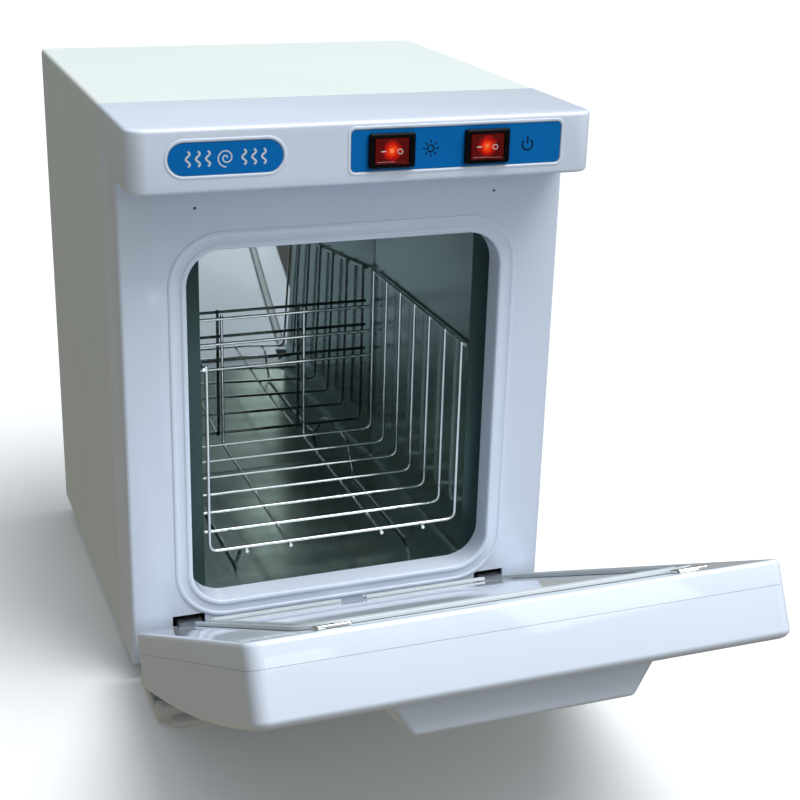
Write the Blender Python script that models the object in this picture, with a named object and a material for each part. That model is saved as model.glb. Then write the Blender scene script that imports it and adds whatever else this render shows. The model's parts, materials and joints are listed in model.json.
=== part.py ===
"""Hot towel cabinet: a table-top towel warmer with a drop-down door.

The cabinet is modelled in its own coordinates: x to the right, y from the flat
front face towards the back, z up from the underside of the sheet metal. An
empty places those coordinates over the table, and a second empty on the hinge
pins carries the door. All values are metres.
"""

import math

import bmesh
import bpy
from mathutils import Matrix, Vector

# Whole cabinet
WIDTH = 0.275
BODY_HEIGHT = 0.342
BODY_DEPTH = 0.266
FOOT_HEIGHT = 0.011
FRONT_FACE_Y = 0.00949
HALF_WIDTH = WIDTH / 2
GAP = 0.0004
TINY = 1e-5
SAME = 1e-6
SIDES = (("left", -1), ("right", 1))

# Front moulding
WALL = 0.0026
SKIRT_DEPTH = 0.0446
LOWER_LIP_DEPTH = 0.012
HOOD_REACH = 0.039
HOOD_UNDERSIDE = 0.3066
HOOD_CORNER = 0.011
OPENING_HALF = 0.099
OPENING_LOW = 0.0365
OPENING_HIGH = 0.264
OPENING_CORNER = 0.022
COLLAR_DEPTH = 0.016

# Sheet metal
SHEET = 0.0012
CHAMBER_HALF = 0.0875
CHAMBER_LOW = 0.036
CHAMBER_HIGH = 0.2645
CHAMBER_BACK = 0.1975
CHAMBER_CORNER = 0.004
LINER_FLANGE = 0.008
LINER_FLANGE_SIDE = 0.018
INSULATION_THICKNESS = 0.012
ELEMENT_SPACE = 0.010
ELEMENT_THICKNESS = 0.0035
BASE_LOW = 0.0016
SHELF_LOW = 0.2815

# Rear panel and feet
REAR_INSET = 0.0010
REAR_SCREW_X = 0.125
REAR_SCREW_HEIGHTS = (0.014, 0.171, 0.328)
VENT_SIZE = (0.050, 0.0036)
VENT_PITCH = (0.062, 0.009)
GLAND_PLACE = (0.085, 0.042)
FOOT_X = 0.115
FOOT_Y = {"front": 0.030, "rear": 0.240}

# Lamp in the top of the chamber
LAMP_Y = 0.120
LAMP_Z = 0.247
LAMP_RADIUS = 0.008
LAMP_GLASS_HALF = 0.061
LAMP_PIN_HALF = 0.0655
GUARD_X = (-0.045, -0.015, 0.015, 0.045)
GUARD_HALF = 0.014
GUARD_WIRE = 0.0008

# Door
DOOR_HALF = 0.1372
DOOR_LOW = 0.008
DOOR_HIGH = 0.305
DOOR_FACE_Y = -0.004
DOOR_LINER_DEPTH = 0.012
DOOR_SEAM = 0.0004
DOOR_CORNER = 0.008
DOOR_RIM = 0.006
DOOR_WALL = 0.0025
DOOR_OPEN_ANGLE = math.radians(62.5)
PIN_Y = -0.020
PIN_Z = 0.0155
PIN_RADIUS = 0.002
DOOR_THICK_HINGE = 0.034
DOOR_THICK_BULGE = 0.0065
DOOR_THICK_TIP = 0.0385
GRIP_REACH = 0.0558

# Hinge arms
HINGE_X = 0.102
ARM_WIDTH = 0.015
ARM_TOP = 0.0275
EYE_RADIUS = 0.0044
BRACKET_LOW = 0.0112
BRACKET_HIGH = 0.0250
SLOT_HALF = 0.0103
SLOT_LOW = 0.022
SLOT_HIGH = 0.030

# Door furniture
CATCH_X = 0.0926
CATCH_Z = 0.289
CATCH_HOLE = 0.0009
GASKET_HALF = 0.101
GASKET_TOP = 0.277
GASKET_BOTTOM = 0.0195
GASKET_WIDTH = 0.010
GASKET_HEIGHT = 0.0026
GASKET_BREAK = 0.017

# Wire basket
WIRE_RADIUS = 0.00115
HOOP_COUNT = 7
HOOP_PITCH = 0.0281
HOOP_FIRST_Y = 0.0185
BASKET_HALF = 0.0835
BASKET_FLOOR = 0.0625
BASKET_TOP = 0.187
BACK_WIRE_HEIGHTS = (0.1215, 0.1405, 0.1595)
LONG_WIRE_X = 0.031
RUNNER_X = 0.060
RUNNER_Z = 0.0375

# Switches and labels on the hood's face
SWITCH_X = {"uv": 0.0108, "power": 0.0686}
SWITCH_Z = 0.3252
BEZEL_HALF = (0.01375, 0.00985)
SWITCH_BODY = (0.0120, 0.0082)
SWITCH_WELL = (0.0103, 0.0075)
SWITCH_HOLE = (0.0124, 0.0086)
ROCKER_HALF = (0.0094, 0.0072)
ROCKER_TILT = math.radians(8.0)
ROCKER_PIVOT_Y = -0.0365
LABEL_X = (-0.0132, 0.1156)
LABEL_Z = (0.3135, 0.3376)
BADGE_X = (-0.1161, -0.0515)
BADGE_Z = (0.3163, 0.3347)
RECESS = 0.0008

# Drip tray
TRAY_HALF = 0.134
TRAY_FLOOR = -0.0102
TRAY_FRONT = -0.057
TRAY_LIP = -0.062


# Finishes ---------------------------------------------------------------

def finish(name, colour, roughness, metallic=0.0):
    """Return a Principled material with one colour."""
    made = bpy.data.materials.new(name)
    made.use_nodes = True
    shader = made.node_tree.nodes["Principled BSDF"]
    shader.inputs["Base Color"].default_value = (*colour, 1.0)
    shader.inputs["Roughness"].default_value = roughness
    shader.inputs["Metallic"].default_value = metallic
    made.diffuse_color = (*colour, 1.0)
    return made


def make_finishes():
    """Return every finish of the cabinet by name."""
    table = {
        "white_abs": ((0.80, 0.83, 0.88), 0.18),
        "powder_coat": ((0.82, 0.84, 0.83), 0.35),
        "bare_sheet": ((0.62, 0.66, 0.65), 0.28, 1.0),
        "chrome": ((0.85, 0.86, 0.87), 0.08, 1.0),
        "black_plastic": ((0.02, 0.02, 0.022), 0.35),
        "red_lens": ((0.60, 0.02, 0.01), 0.15),
        "blue_film": ((0.01, 0.17, 0.46), 0.35),
        "silicone": ((0.72, 0.75, 0.76), 0.4),
        "rubber": ((0.03, 0.03, 0.03), 0.8),
        "fibre": ((0.75, 0.72, 0.62), 0.9),
        "zinc_steel": ((0.55, 0.56, 0.57), 0.3, 1.0),
        "lamp_glass": ((0.75, 0.85, 0.95), 0.1),
        "ceramic": ((0.85, 0.83, 0.78), 0.5),
        "tray_abs": ((0.66, 0.68, 0.69), 0.3),
    }
    return {name: finish(name, *values) for name, values in table.items()}


# Shapes -----------------------------------------------------------------

def clear_scene():
    """Remove every object that the scene starts with."""
    for item in list(bpy.data.objects):
        bpy.data.objects.remove(item, do_unlink=True)


def arc(centre, radius, start, end, steps):
    """Return points on an arc, both ends included, angles in degrees."""
    points = []
    for step in range(steps + 1):
        angle = math.radians(start + (end - start) * step / steps)
        points.append((centre[0] + radius * math.cos(angle), centre[1] + radius * math.sin(angle)))
    return points


def rounded_outline(low, high, radius, steps=5):
    """Return a rectangle with round corners, anticlockwise."""
    (x0, z0), (x1, z1) = low, high
    return (arc((x1 - radius, z0 + radius), radius, -90, 0, steps)
            + arc((x1 - radius, z1 - radius), radius, 0, 90, steps)
            + arc((x0 + radius, z1 - radius), radius, 90, 180, steps)
            + arc((x0 + radius, z0 + radius), radius, 180, 270, steps))


def prism(outline, axis, start, end):
    """Return a bmesh of an outline pushed along an axis from start to end."""
    places = {"X": lambda p: (start, p[0], p[1]),
              "Y": lambda p: (p[0], start, p[1]),
              "Z": lambda p: (p[0], p[1], start)}
    along = {"X": (end - start, 0, 0), "Y": (0, end - start, 0), "Z": (0, 0, end - start)}
    bm = bmesh.new()
    face = bm.faces.new([bm.verts.new(places[axis](point)) for point in outline])
    pushed = bmesh.ops.extrude_face_region(bm, geom=[face])
    moved = [item for item in pushed["geom"] if isinstance(item, bmesh.types.BMVert)]
    bmesh.ops.translate(bm, verts=moved, vec=along[axis])
    bmesh.ops.recalc_face_normals(bm, faces=bm.faces)
    return bm


def box(low, high):
    """Return a bmesh of a plain block between two corners."""
    outline = [(low[0], low[1]), (high[0], low[1]), (high[0], high[1]), (low[0], high[1])]
    return prism(outline, "Z", low[2], high[2])


def rod(start, end, radius, sides=16):
    """Return a bmesh of a round bar between two points."""
    return wire([start, end], radius, sides)


def wire(points, radius, sides=6):
    """Return a bmesh of a round wire along points, with flat ends."""
    path = [Vector(point) for point in points]
    bm = bmesh.new()
    direction = (path[1] - path[0]).normalized()
    side = direction.orthogonal().normalized()
    rings = []
    for index, place in enumerate(path):
        before = (place - path[index - 1]).normalized() if index else direction
        after = (path[index + 1] - place).normalized() if index < len(path) - 1 else before
        mean = (before + after).normalized()
        side = (side - mean * side.dot(mean)).normalized()
        up = mean.cross(side)
        stretch = 1.0 / max(0.5, mean.dot(after))
        bend = after - before
        outward = bend.normalized() if bend.length > SAME else None
        ring = []
        for step in range(sides):
            angle = 2 * math.pi * (step + 0.5) / sides
            offset = (side * math.cos(angle) + up * math.sin(angle)) * radius
            if outward is not None:
                offset += outward * offset.dot(outward) * (stretch - 1.0)
            ring.append(bm.verts.new(place + offset))
        rings.append(ring)
    for first, second in zip(rings, rings[1:]):
        for step in range(sides):
            following = (step + 1) % sides
            bm.faces.new((first[step], first[following], second[following], second[step]))
    bm.faces.new(list(reversed(rings[0])))
    bm.faces.new(rings[-1])
    bmesh.ops.recalc_face_normals(bm, faces=bm.faces)
    return bm


def turned(profile, place, axis, steps=24):
    """Return a bmesh turned about an axis through place.

    The profile lists (radius, height) from the axis at one end to the axis at
    the other, and height runs along the axis.
    """
    bm = bmesh.new()
    chain = [bm.verts.new((radius, 0, height)) for radius, height in profile]
    edges = [bm.edges.new(pair) for pair in zip(chain, chain[1:])]
    bmesh.ops.spin(bm, geom=chain + edges, cent=(0, 0, 0), axis=(0, 0, 1),
                   angle=2 * math.pi, steps=steps, use_merge=True)
    bmesh.ops.remove_doubles(bm, verts=bm.verts, dist=SAME)
    turn = Vector((0, 0, 1)).rotation_difference(Vector(axis)).to_matrix().to_4x4()
    bmesh.ops.transform(bm, matrix=Matrix.Translation(place) @ turn, verts=bm.verts)
    bmesh.ops.recalc_face_normals(bm, faces=bm.faces)
    return bm


def bent_strip(path, thickness, radius, axis, start, end, steps=4):
    """Return a bmesh of sheet metal bent along a path that always turns one way.

    The path is the outer surface, the metal lies on its inner side, and each
    inner point gets a bend of the given outer radius.
    """
    outer = []
    inner = []
    points = [Vector(point) for point in path]
    turn = (points[1] - points[0]).to_3d().cross((points[2] - points[1]).to_3d()).z
    hand = 1.0 if turn > 0 else -1.0
    for index, point in enumerate(points):
        before = (point - points[index - 1]).normalized() if index else None
        after = (points[index + 1] - point).normalized() if index < len(points) - 1 else None
        if before is None or after is None:
            along = after or before
            normal = Vector((-along.y, along.x)) * hand
            outer.append(point)
            inner.append(point + normal * thickness)
            continue
        normal_in = Vector((-before.y, before.x)) * hand
        normal_out = Vector((-after.y, after.x)) * hand
        half = math.acos(max(-1.0, min(1.0, before.dot(after)))) / 2
        centre = point - before * radius * math.tan(half) + normal_in * radius
        for step in range(steps + 1):
            share = step / steps
            normal = (normal_in * math.sin((1 - share) * 2 * half)
                      + normal_out * math.sin(share * 2 * half)) / math.sin(2 * half)
            outer.append(centre - normal * radius)
            inner.append(centre - normal * (radius - thickness))
    outline = [tuple(point) for point in outer + list(reversed(inner))]
    return prism(outline, axis, start, end)


def round_edges(bm, chosen, radius, segments):
    """Bevel the edges for which chosen(first, second) is true."""
    edges = [edge for edge in bm.edges if chosen(edge.verts[0].co, edge.verts[1].co)]
    bmesh.ops.bevel(bm, geom=edges, offset=radius, offset_type="OFFSET", segments=segments,
                    profile=0.5, affect="EDGES", clamp_overlap=True, material=-1)
    return bm


class Bench:
    """Holds the finishes and adds parts and cutters to the scene."""

    def __init__(self):
        self.finishes = make_finishes()
        self.cabinet = self.empty("cabinet", (0, FRONT_FACE_Y, FOOT_HEIGHT), None)
        self.door = self.empty("door_hinge", (0, PIN_Y, PIN_Z), self.cabinet)
        self.door.rotation_euler = (DOOR_OPEN_ANGLE, 0, 0)

    def empty(self, name, place, parent):
        """Add an empty that carries other objects."""
        made = bpy.data.objects.new(name, None)
        bpy.context.collection.objects.link(made)
        made.parent = parent
        made.location = place
        return made

    def part(self, name, bm, finish_name, parent=None, origin=(0, 0, 0)):
        """Add one named sub-part whose mesh is given in cabinet coordinates."""
        parent = parent or self.cabinet
        if parent is self.door:
            origin = (0, PIN_Y, PIN_Z)
        bmesh.ops.translate(bm, verts=bm.verts, vec=-Vector(origin))
        mesh = bpy.data.meshes.new(name)
        bm.to_mesh(mesh)
        bm.free()
        made = bpy.data.objects.new(name, mesh)
        bpy.context.collection.objects.link(made)
        made.parent = parent
        if parent is not self.door:
            made.location = origin
        mesh.materials.append(self.finishes[finish_name])
        mesh.shade_smooth()
        mesh.set_sharp_from_angle(angle=math.radians(35))
        return made

    def shape(self, target, operation, *solids):
        """Cut solids out of a part, or join them to it, with one Boolean."""
        group = bpy.data.collections.new(target.name + "_" + operation.lower())
        for number, bm in enumerate(solids):
            name = "shape_" + target.name + "_" + operation.lower() + "_" + str(number)
            tool = self.part(name, bm, "black_plastic", parent=target.parent)
            group.objects.link(tool)
            tool.hide_render = True
            tool.display_type = "WIRE"
        modifier = target.modifiers.new(operation.title(), "BOOLEAN")
        modifier.operation = operation
        modifier.operand_type = "COLLECTION"
        modifier.collection = group
        modifier.solver = "EXACT"

    def cut(self, target, *solids):
        """Cut solids out of a part."""
        self.shape(target, "DIFFERENCE", *solids)

    def join(self, target, *solids):
        """Join solids to a part."""
        self.shape(target, "UNION", *solids)


# Casing -----------------------------------------------------------------

def frame_side_outline(inset):
    """Return the front moulding's side outline in (y, z), set in by inset."""
    back = SKIRT_DEPTH + (0.002 if inset else 0.0)
    return [(inset, inset), (back, inset), (back, BODY_HEIGHT - inset),
            (inset - HOOD_REACH, BODY_HEIGHT - inset), (inset - HOOD_REACH, HOOD_UNDERSIDE + inset),
            (inset, HOOD_UNDERSIDE + inset)]


def frame_solid(inset):
    """Return the front moulding's block, with the hood's front corners rounded."""
    half = HALF_WIDTH - inset
    front = inset - HOOD_REACH
    bm = prism(frame_side_outline(inset), "X", -half, half)

    def hood_corner(first, second):
        return (abs(first.y - front) < SAME and abs(second.y - front) < SAME
                and abs(first.x - second.x) < SAME)

    return round_edges(bm, hood_corner, HOOD_CORNER - inset, 6)


def add_front_frame(bench):
    """Add the moulded front with its hood, opening, collar and hinge slots."""
    bm = frame_solid(0.0)

    def outer_edge(first, second):
        middle = (first + second) / 2
        at_back = abs(middle.y - SKIRT_DEPTH) < SAME
        under_hood = abs(middle.y) < SAME and abs(middle.z - HOOD_UNDERSIDE) < SAME
        along_corner = abs(first.z - second.z) > 0.01 and middle.y < -0.001
        along_skirt = abs(middle.z) < SAME and middle.y > 0.001
        return not (at_back or under_hood or along_corner or along_skirt)

    round_edges(bm, outer_edge, 0.0022, 2)
    frame = bench.part("front_frame", bm, "white_abs")
    inner_half = HALF_WIDTH - WALL
    bench.cut(frame, frame_solid(WALL),
              box((-inner_half, LOWER_LIP_DEPTH, -0.001), (inner_half, SKIRT_DEPTH + 0.001, 0.004)))
    rim = WALL - 0.0002
    collar = rounded_outline((-OPENING_HALF - rim, OPENING_LOW - rim),
                             (OPENING_HALF + rim, OPENING_HIGH + rim), OPENING_CORNER + rim)
    bench.join(frame, prism(collar, "Y", 0.001, COLLAR_DEPTH))
    opening = rounded_outline((-OPENING_HALF, OPENING_LOW), (OPENING_HALF, OPENING_HIGH),
                              OPENING_CORNER)
    label = rounded_outline((LABEL_X[0], LABEL_Z[0]), (LABEL_X[1], LABEL_Z[1]), 0.003, 3)
    badge_radius = (BADGE_Z[1] - BADGE_Z[0]) / 2 - TINY
    badge = rounded_outline((BADGE_X[0], BADGE_Z[0]), (BADGE_X[1], BADGE_Z[1]), badge_radius, 6)
    face = -HOOD_REACH
    tools = [prism(opening, "Y", -0.002, COLLAR_DEPTH + 0.002),
             prism(label, "Y", face - 0.001, face + RECESS),
             prism(badge, "Y", face - 0.001, face + RECESS)]
    for sign in (-1, 1):
        tools.append(box((sign * HINGE_X - SLOT_HALF, -0.001, SLOT_LOW),
                         (sign * HINGE_X + SLOT_HALF, WALL + 0.001, SLOT_HIGH)))
        tools.append(rod((sign * CATCH_X, -0.001, CATCH_Z), (sign * CATCH_X, WALL + 0.001, CATCH_Z),
                         CATCH_HOLE, 10))
    for place in SWITCH_X.values():
        tools.append(switch_block(place, SWITCH_HOLE, face - 0.001, face + WALL + 0.001))
    bench.cut(frame, *tools)


def add_outer_cover(bench):
    """Add the folded sheet-metal cover: top, sides and inturned lower edges."""
    lip = HALF_WIDTH - 0.010
    path = [(-lip, 0), (-HALF_WIDTH, 0), (-HALF_WIDTH, BODY_HEIGHT), (HALF_WIDTH, BODY_HEIGHT),
            (HALF_WIDTH, 0), (lip, 0)]
    bm = bent_strip(path, SHEET, 0.0025, "Y", SKIRT_DEPTH + GAP, BODY_DEPTH)
    bench.part("outer_cover", bm, "powder_coat")


def vent_slots(rows, columns, middle_height):
    """Return cutters for a block of round-ended vent slots in the rear panel."""
    tools = []
    half_width, half_height = VENT_SIZE[0] / 2, VENT_SIZE[1] / 2
    for row in range(rows):
        for column in range(columns):
            x = (column - (columns - 1) / 2) * VENT_PITCH[0]
            z = middle_height + (row - (rows - 1) / 2) * VENT_PITCH[1]
            slot = rounded_outline((x - half_width, z - half_height),
                                   (x + half_width, z + half_height), half_height - TINY, 3)
            tools.append(prism(slot, "Y", BODY_DEPTH - 0.006, BODY_DEPTH + 0.004))
    return tools


def add_rear_panel(bench):
    """Add the rear panel with vents, screw holes and the gland's hole."""
    half = HALF_WIDTH - SHEET - GAP
    back = BODY_DEPTH - REAR_INSET
    bm = box((-half, back - SHEET, 0.0032), (half, back, BODY_HEIGHT - SHEET - GAP))
    panel = bench.part("rear_panel", bm, "powder_coat")
    tools = vent_slots(5, 2, 0.300) + vent_slots(3, 2, 0.035)
    screws = [(sign * REAR_SCREW_X, height) for sign in (-1, 1) for height in REAR_SCREW_HEIGHTS]
    holes = [(x, z, 0.0019, 10) for x, z in screws] + [(*GLAND_PLACE, 0.0068, 20)]
    for x, z, radius, sides in holes:
        tools.append(rod((x, back - 0.004, z), (x, back + 0.003, z), radius, sides))
    bench.cut(panel, *tools)
    for number, (x, z) in enumerate(screws, start=1):
        profile = [(0, -0.008), (0.0015, -0.008), (0.0015, 0.0003), (0.0034, 0.0003),
                   (0.0030, 0.0018), (0.0016, 0.0024), (0, 0.0024)]
        bench.part("rear_screw_" + str(number), turned(profile, (x, back, z), (0, 1, 0), 12),
                   "zinc_steel")


def add_cord_gland(bench):
    """Add the rubber gland through which the mains lead leaves."""
    back = BODY_DEPTH - REAR_INSET
    profile = [(0.0035, -0.008), (0.0063, -0.008), (0.0063, 0.0004), (0.0095, 0.0004),
               (0.0090, 0.0024), (0.0060, 0.0032), (0.0035, 0.0032)]
    closed = profile + profile[:1]
    bm = turned(closed, (GLAND_PLACE[0], back, GLAND_PLACE[1]), (0, 1, 0), 20)
    bench.part("cord_gland", bm, "rubber")


def add_base(bench):
    """Add the base plate and the four rubber feet under it."""
    half = HALF_WIDTH - WALL - 0.0005
    bm = box((-half, LOWER_LIP_DEPTH + GAP, BASE_LOW), (half, BODY_DEPTH - 0.003, BASE_LOW + SHEET))
    bench.part("base_plate", bm, "bare_sheet")
    profile = [(0, -FOOT_HEIGHT), (0.0085, -FOOT_HEIGHT), (0.0095, 0.0015 - FOOT_HEIGHT),
               (0.0105, BASE_LOW - GAP), (0, BASE_LOW - GAP)]
    for row, y in FOOT_Y.items():
        for side, sign in SIDES:
            bm = turned(profile, (sign * FOOT_X, y, 0), (0, 0, 1), 20)
            bench.part("foot_" + row + "_" + side, bm, "rubber")


# Towel chamber ----------------------------------------------------------

def add_chamber_liner(bench):
    """Add the bare metal chamber: an open box with a flange behind the collar."""
    front = COLLAR_DEPTH + GAP
    low, high = (-CHAMBER_HALF, CHAMBER_LOW), (CHAMBER_HALF, CHAMBER_HIGH)

    def grown(amount, radius):
        return rounded_outline((low[0] - amount, low[1] - amount), (high[0] + amount, high[1] + amount),
                               radius, 3)

    liner = bench.part("chamber_liner",
                       prism(grown(SHEET, CHAMBER_CORNER + SHEET), "Y", front, CHAMBER_BACK + SHEET),
                       "bare_sheet")
    flange = rounded_outline((low[0] - LINER_FLANGE_SIDE, low[1] - LINER_FLANGE),
                             (high[0] + LINER_FLANGE_SIDE, high[1] + LINER_FLANGE), 0.006, 3)
    bench.join(liner, prism(flange, "Y", front, front + SHEET))
    bench.cut(liner, prism(grown(0.0, CHAMBER_CORNER), "Y", front - 0.002, CHAMBER_BACK))


def add_insulation(bench):
    """Add the fibre jacket round the chamber, with room for the element below."""
    front = COLLAR_DEPTH + GAP + 0.004
    clear = SHEET + GAP
    side = CHAMBER_HALF + clear
    low = CHAMBER_LOW - SHEET - ELEMENT_SPACE
    high = CHAMBER_HIGH + clear
    back = CHAMBER_BACK + clear
    wall = INSULATION_THICKNESS
    jacket = bench.part("insulation", box((-side - wall, front, low - wall),
                                          (side + wall, back + wall, high + wall)), "fibre")
    bench.cut(jacket, box((-side, front - 0.001, low), (side, back, high)))


def add_heater(bench):
    """Add the flat element below the chamber, its thermostat and thermal fuse."""
    top = CHAMBER_LOW - SHEET - GAP
    plate = rounded_outline((-0.070, 0.035), (0.070, 0.182), 0.008, 3)
    bench.part("heating_element", prism(plate, "Z", top - ELEMENT_THICKNESS, top), "zinc_steel")
    under = top - ELEMENT_THICKNESS - GAP
    middle_y = 0.125
    profile = [(0, -0.005), (0.0065, -0.005), (0.008, -0.004), (0.008, 0), (0, 0)]
    bench.part("thermostat", turned(profile, (0.045, middle_y, under), (0, 0, 1), 20), "ceramic")
    fuse_radius = 0.002
    fuse_z = under - fuse_radius - 0.0001
    fuse = rod((-0.055, middle_y, fuse_z), (-0.030, middle_y, fuse_z), fuse_radius, 10)
    bench.part("thermal_fuse", fuse, "ceramic")


def add_lamp(bench):
    """Add the ultraviolet tube, its two holders and the wire guard under it."""
    half_tube = [(LAMP_RADIUS, 0.050), (LAMP_RADIUS - 0.0005, LAMP_GLASS_HALF),
                 (0.0022, LAMP_PIN_HALF), (0, LAMP_PIN_HALF)]
    tube = [(radius, -along) for radius, along in reversed(half_tube)] + half_tube
    bench.part("uv_lamp", turned(tube, (0, LAMP_Y, LAMP_Z), (1, 0, 0), 16), "lamp_glass")
    for side, sign in SIDES:
        inner, outer = sorted((sign * (LAMP_PIN_HALF + 0.0007), sign * 0.074))
        bm = box((inner, LAMP_Y - 0.011, LAMP_Z - 0.010), (outer, LAMP_Y + 0.011, CHAMBER_HIGH - GAP))
        bench.part("lamp_holder_" + side, bm, "ceramic")
    drop = LAMP_Z - 0.0125
    top = CHAMBER_HIGH - GAP - WIRE_RADIUS
    bend = 0.003
    section = [(-GUARD_HALF, top), (-GUARD_HALF, drop + bend), (bend - GUARD_HALF, drop),
               (GUARD_HALF - bend, drop), (GUARD_HALF, drop + bend), (GUARD_HALF, top)]
    hoops = [wire([(x, LAMP_Y + y, z) for y, z in section], GUARD_WIRE) for x in GUARD_X]
    rail_z = drop - GUARD_WIRE
    rails = [wire([(-0.050, LAMP_Y + y, rail_z), (0.050, LAMP_Y + y, rail_z)], GUARD_WIRE)
             for y in (-GUARD_HALF / 2, GUARD_HALF / 2)]
    guard = bench.part("lamp_guard", hoops[0], "chrome")
    bench.join(guard, *hoops[1:], *rails)


def add_electrics(bench):
    """Add the shelf over the chamber with the lamp's ballast and the terminals."""
    half = HALF_WIDTH - WALL - 0.002
    bench.part("component_shelf", box((-half, 0.020, SHELF_LOW), (half, 0.160, SHELF_LOW + SHEET)),
               "bare_sheet")
    low = SHELF_LOW + SHEET + GAP
    ballast = box((-0.095, 0.060, low), (-0.020, 0.100, low + 0.026))
    bench.part("lamp_ballast", ballast, "black_plastic")
    block = box((0.020, 0.070, low), (0.075, 0.090, low + 0.014))
    bench.part("terminal_block", block, "ceramic")


# Basket -----------------------------------------------------------------

def corner(before, bend, after, radius, steps=3):
    """Return points that round the bend of a wire between two straight runs."""
    before, bend, after = Vector(before), Vector(bend), Vector(after)
    incoming = (before - bend).normalized() * radius
    outgoing = (after - bend).normalized() * radius
    points = []
    for step in range(steps + 1):
        share = step / steps
        points.append(bend + incoming * (1 - share) ** 2 + outgoing * share ** 2)
    return points


def bent_wire(corners, bend_radius, radius=WIRE_RADIUS):
    """Return a wire through corner points with each bend rounded."""
    points = [Vector(corners[0])]
    for before, bend, after in zip(corners, corners[1:], corners[2:]):
        points += corner(before, bend, after, bend_radius)
    points.append(Vector(corners[-1]))
    return wire(points, radius)


def add_basket(bench):
    """Add the removable wire basket as one welded body."""
    lap = 1.5 * WIRE_RADIUS
    wires = []
    for number in range(HOOP_COUNT):
        y = HOOP_FIRST_Y + number * HOOP_PITCH
        wires.append(bent_wire([(-BASKET_HALF, y, BASKET_TOP), (-BASKET_HALF, y, BASKET_FLOOR),
                                (BASKET_HALF, y, BASKET_FLOOR), (BASKET_HALF, y, BASKET_TOP)], 0.0045))
    last_hoop = HOOP_FIRST_Y + (HOOP_COUNT - 1) * HOOP_PITCH
    back = last_hoop + 2 * lap
    front = HOOP_FIRST_Y - 0.0035
    for sign in (-1, 1):
        rail_x = sign * (BASKET_HALF + lap)
        rail_z = BASKET_TOP - 0.0016
        low = BASKET_FLOOR - lap
        wires.append(wire([(rail_x, HOOP_FIRST_Y - 0.0023, rail_z), (rail_x, last_hoop + 0.0021, rail_z)],
                          WIRE_RADIUS))
        wires.append(bent_wire([(sign * LONG_WIRE_X, front, low), (sign * LONG_WIRE_X, back, low),
                                (sign * LONG_WIRE_X, back, BACK_WIRE_HEIGHTS[-1] + 0.0022)], 0.004))
        wires.append(bent_wire([(sign * RUNNER_X, front, low), (sign * RUNNER_X, front + 0.012, low),
                                (sign * RUNNER_X, front + 0.030, RUNNER_Z),
                                (sign * RUNNER_X, last_hoop - 0.030, RUNNER_Z),
                                (sign * RUNNER_X, last_hoop - 0.012, low),
                                (sign * RUNNER_X, last_hoop + 0.0026, low)], 0.004))
    for height in BACK_WIRE_HEIGHTS:
        wires.append(wire([(-BASKET_HALF - 0.0018, last_hoop + lap, height),
                           (BASKET_HALF + 0.0018, last_hoop + lap, height)], WIRE_RADIUS))
    basket = bench.part("basket", wires[0], "chrome")
    bench.join(basket, *wires[1:])


# Door -------------------------------------------------------------------

def door_thickness(share):
    """Return the door's thickness at a share of its length from the hinge."""
    straight = DOOR_THICK_HINGE + (DOOR_THICK_TIP - DOOR_THICK_HINGE) * share
    return straight + DOOR_THICK_BULGE * 4 * share * (1 - share)


def shell_outline(inset, steps=12):
    """Return the outer shell's side outline in (y, z), set in by inset."""
    seam = DOOR_FACE_Y - DOOR_LINER_DEPTH - DOOR_SEAM + (0.002 if inset else 0.0)
    points = [(seam, DOOR_HIGH - inset), (seam, DOOR_LOW + inset)]
    for step in range(steps + 1):
        share = step / steps
        z = DOOR_LOW + inset + (DOOR_HIGH - DOOR_LOW - 2 * inset) * share
        points.append((DOOR_FACE_Y - door_thickness(share) + inset, z))
    return points


def shell_solid(inset):
    """Return the door's outer block with round corners and a round outer edge."""
    half = DOOR_HALF - inset
    bm = prism(shell_outline(inset), "X", -half, half)

    def corner_edge(first, second):
        return abs(first.x - second.x) < SAME and abs(first.y - second.y) > 0.015

    round_edges(bm, corner_edge, DOOR_CORNER - inset, 3)
    seam = max(vertex.co.y for vertex in bm.verts)

    def outer_rim(first, second):
        faces_out = min(seam - first.y, seam - second.y) > 0.010
        crosses_face = abs(first.x) < half - 1e-4 and abs(first.x + second.x) < 1e-4
        return faces_out and not crosses_face

    rim = [edge for edge in bm.edges if outer_rim(edge.verts[0].co, edge.verts[1].co)
           and edge.calc_face_angle(0.0) > 0.7]
    if not inset:
        bmesh.ops.bevel(bm, geom=rim, offset=DOOR_RIM, offset_type="OFFSET", segments=3,
                        profile=0.5, affect="EDGES", clamp_overlap=True, material=-1)
    return bm


def handle_solid():
    """Return the trapezoid grip that stands out of the door near its free edge."""
    root_y = DOOR_FACE_Y - DOOR_THICK_TIP + 0.002
    edge_y = DOOR_FACE_Y - GRIP_REACH
    top_root = DOOR_LOW + 0.279
    bm = bmesh.new()
    rings = []
    for y, half, high, low in ((root_y, 0.0705, top_root, top_root - 0.026),
                               (edge_y + 0.003, 0.0600, top_root - 0.006, top_root - 0.014),
                               (edge_y, 0.0578, top_root - 0.008, top_root - 0.012)):
        ring = [(-half, y, high), (half, y, high), (half - 0.002, y, low), (-half + 0.002, y, low)]
        rings.append([bm.verts.new(point) for point in ring])
    for first, second in zip(rings, rings[1:]):
        for step in range(4):
            following = (step + 1) % 4
            bm.faces.new((first[step], first[following], second[following], second[step]))
    bm.faces.new(rings[0])
    bm.faces.new(rings[-1])
    bmesh.ops.recalc_face_normals(bm, faces=bm.faces)
    return bm


def hinge_notches(y_low, y_high, z_high):
    """Return the cutters that let the fixed hinge arms into the door's end."""
    return [box((sign * HINGE_X - SLOT_HALF, y_low, DOOR_LOW - 0.002),
                (sign * HINGE_X + SLOT_HALF, y_high, z_high)) for sign in (-1, 1)]


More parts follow.
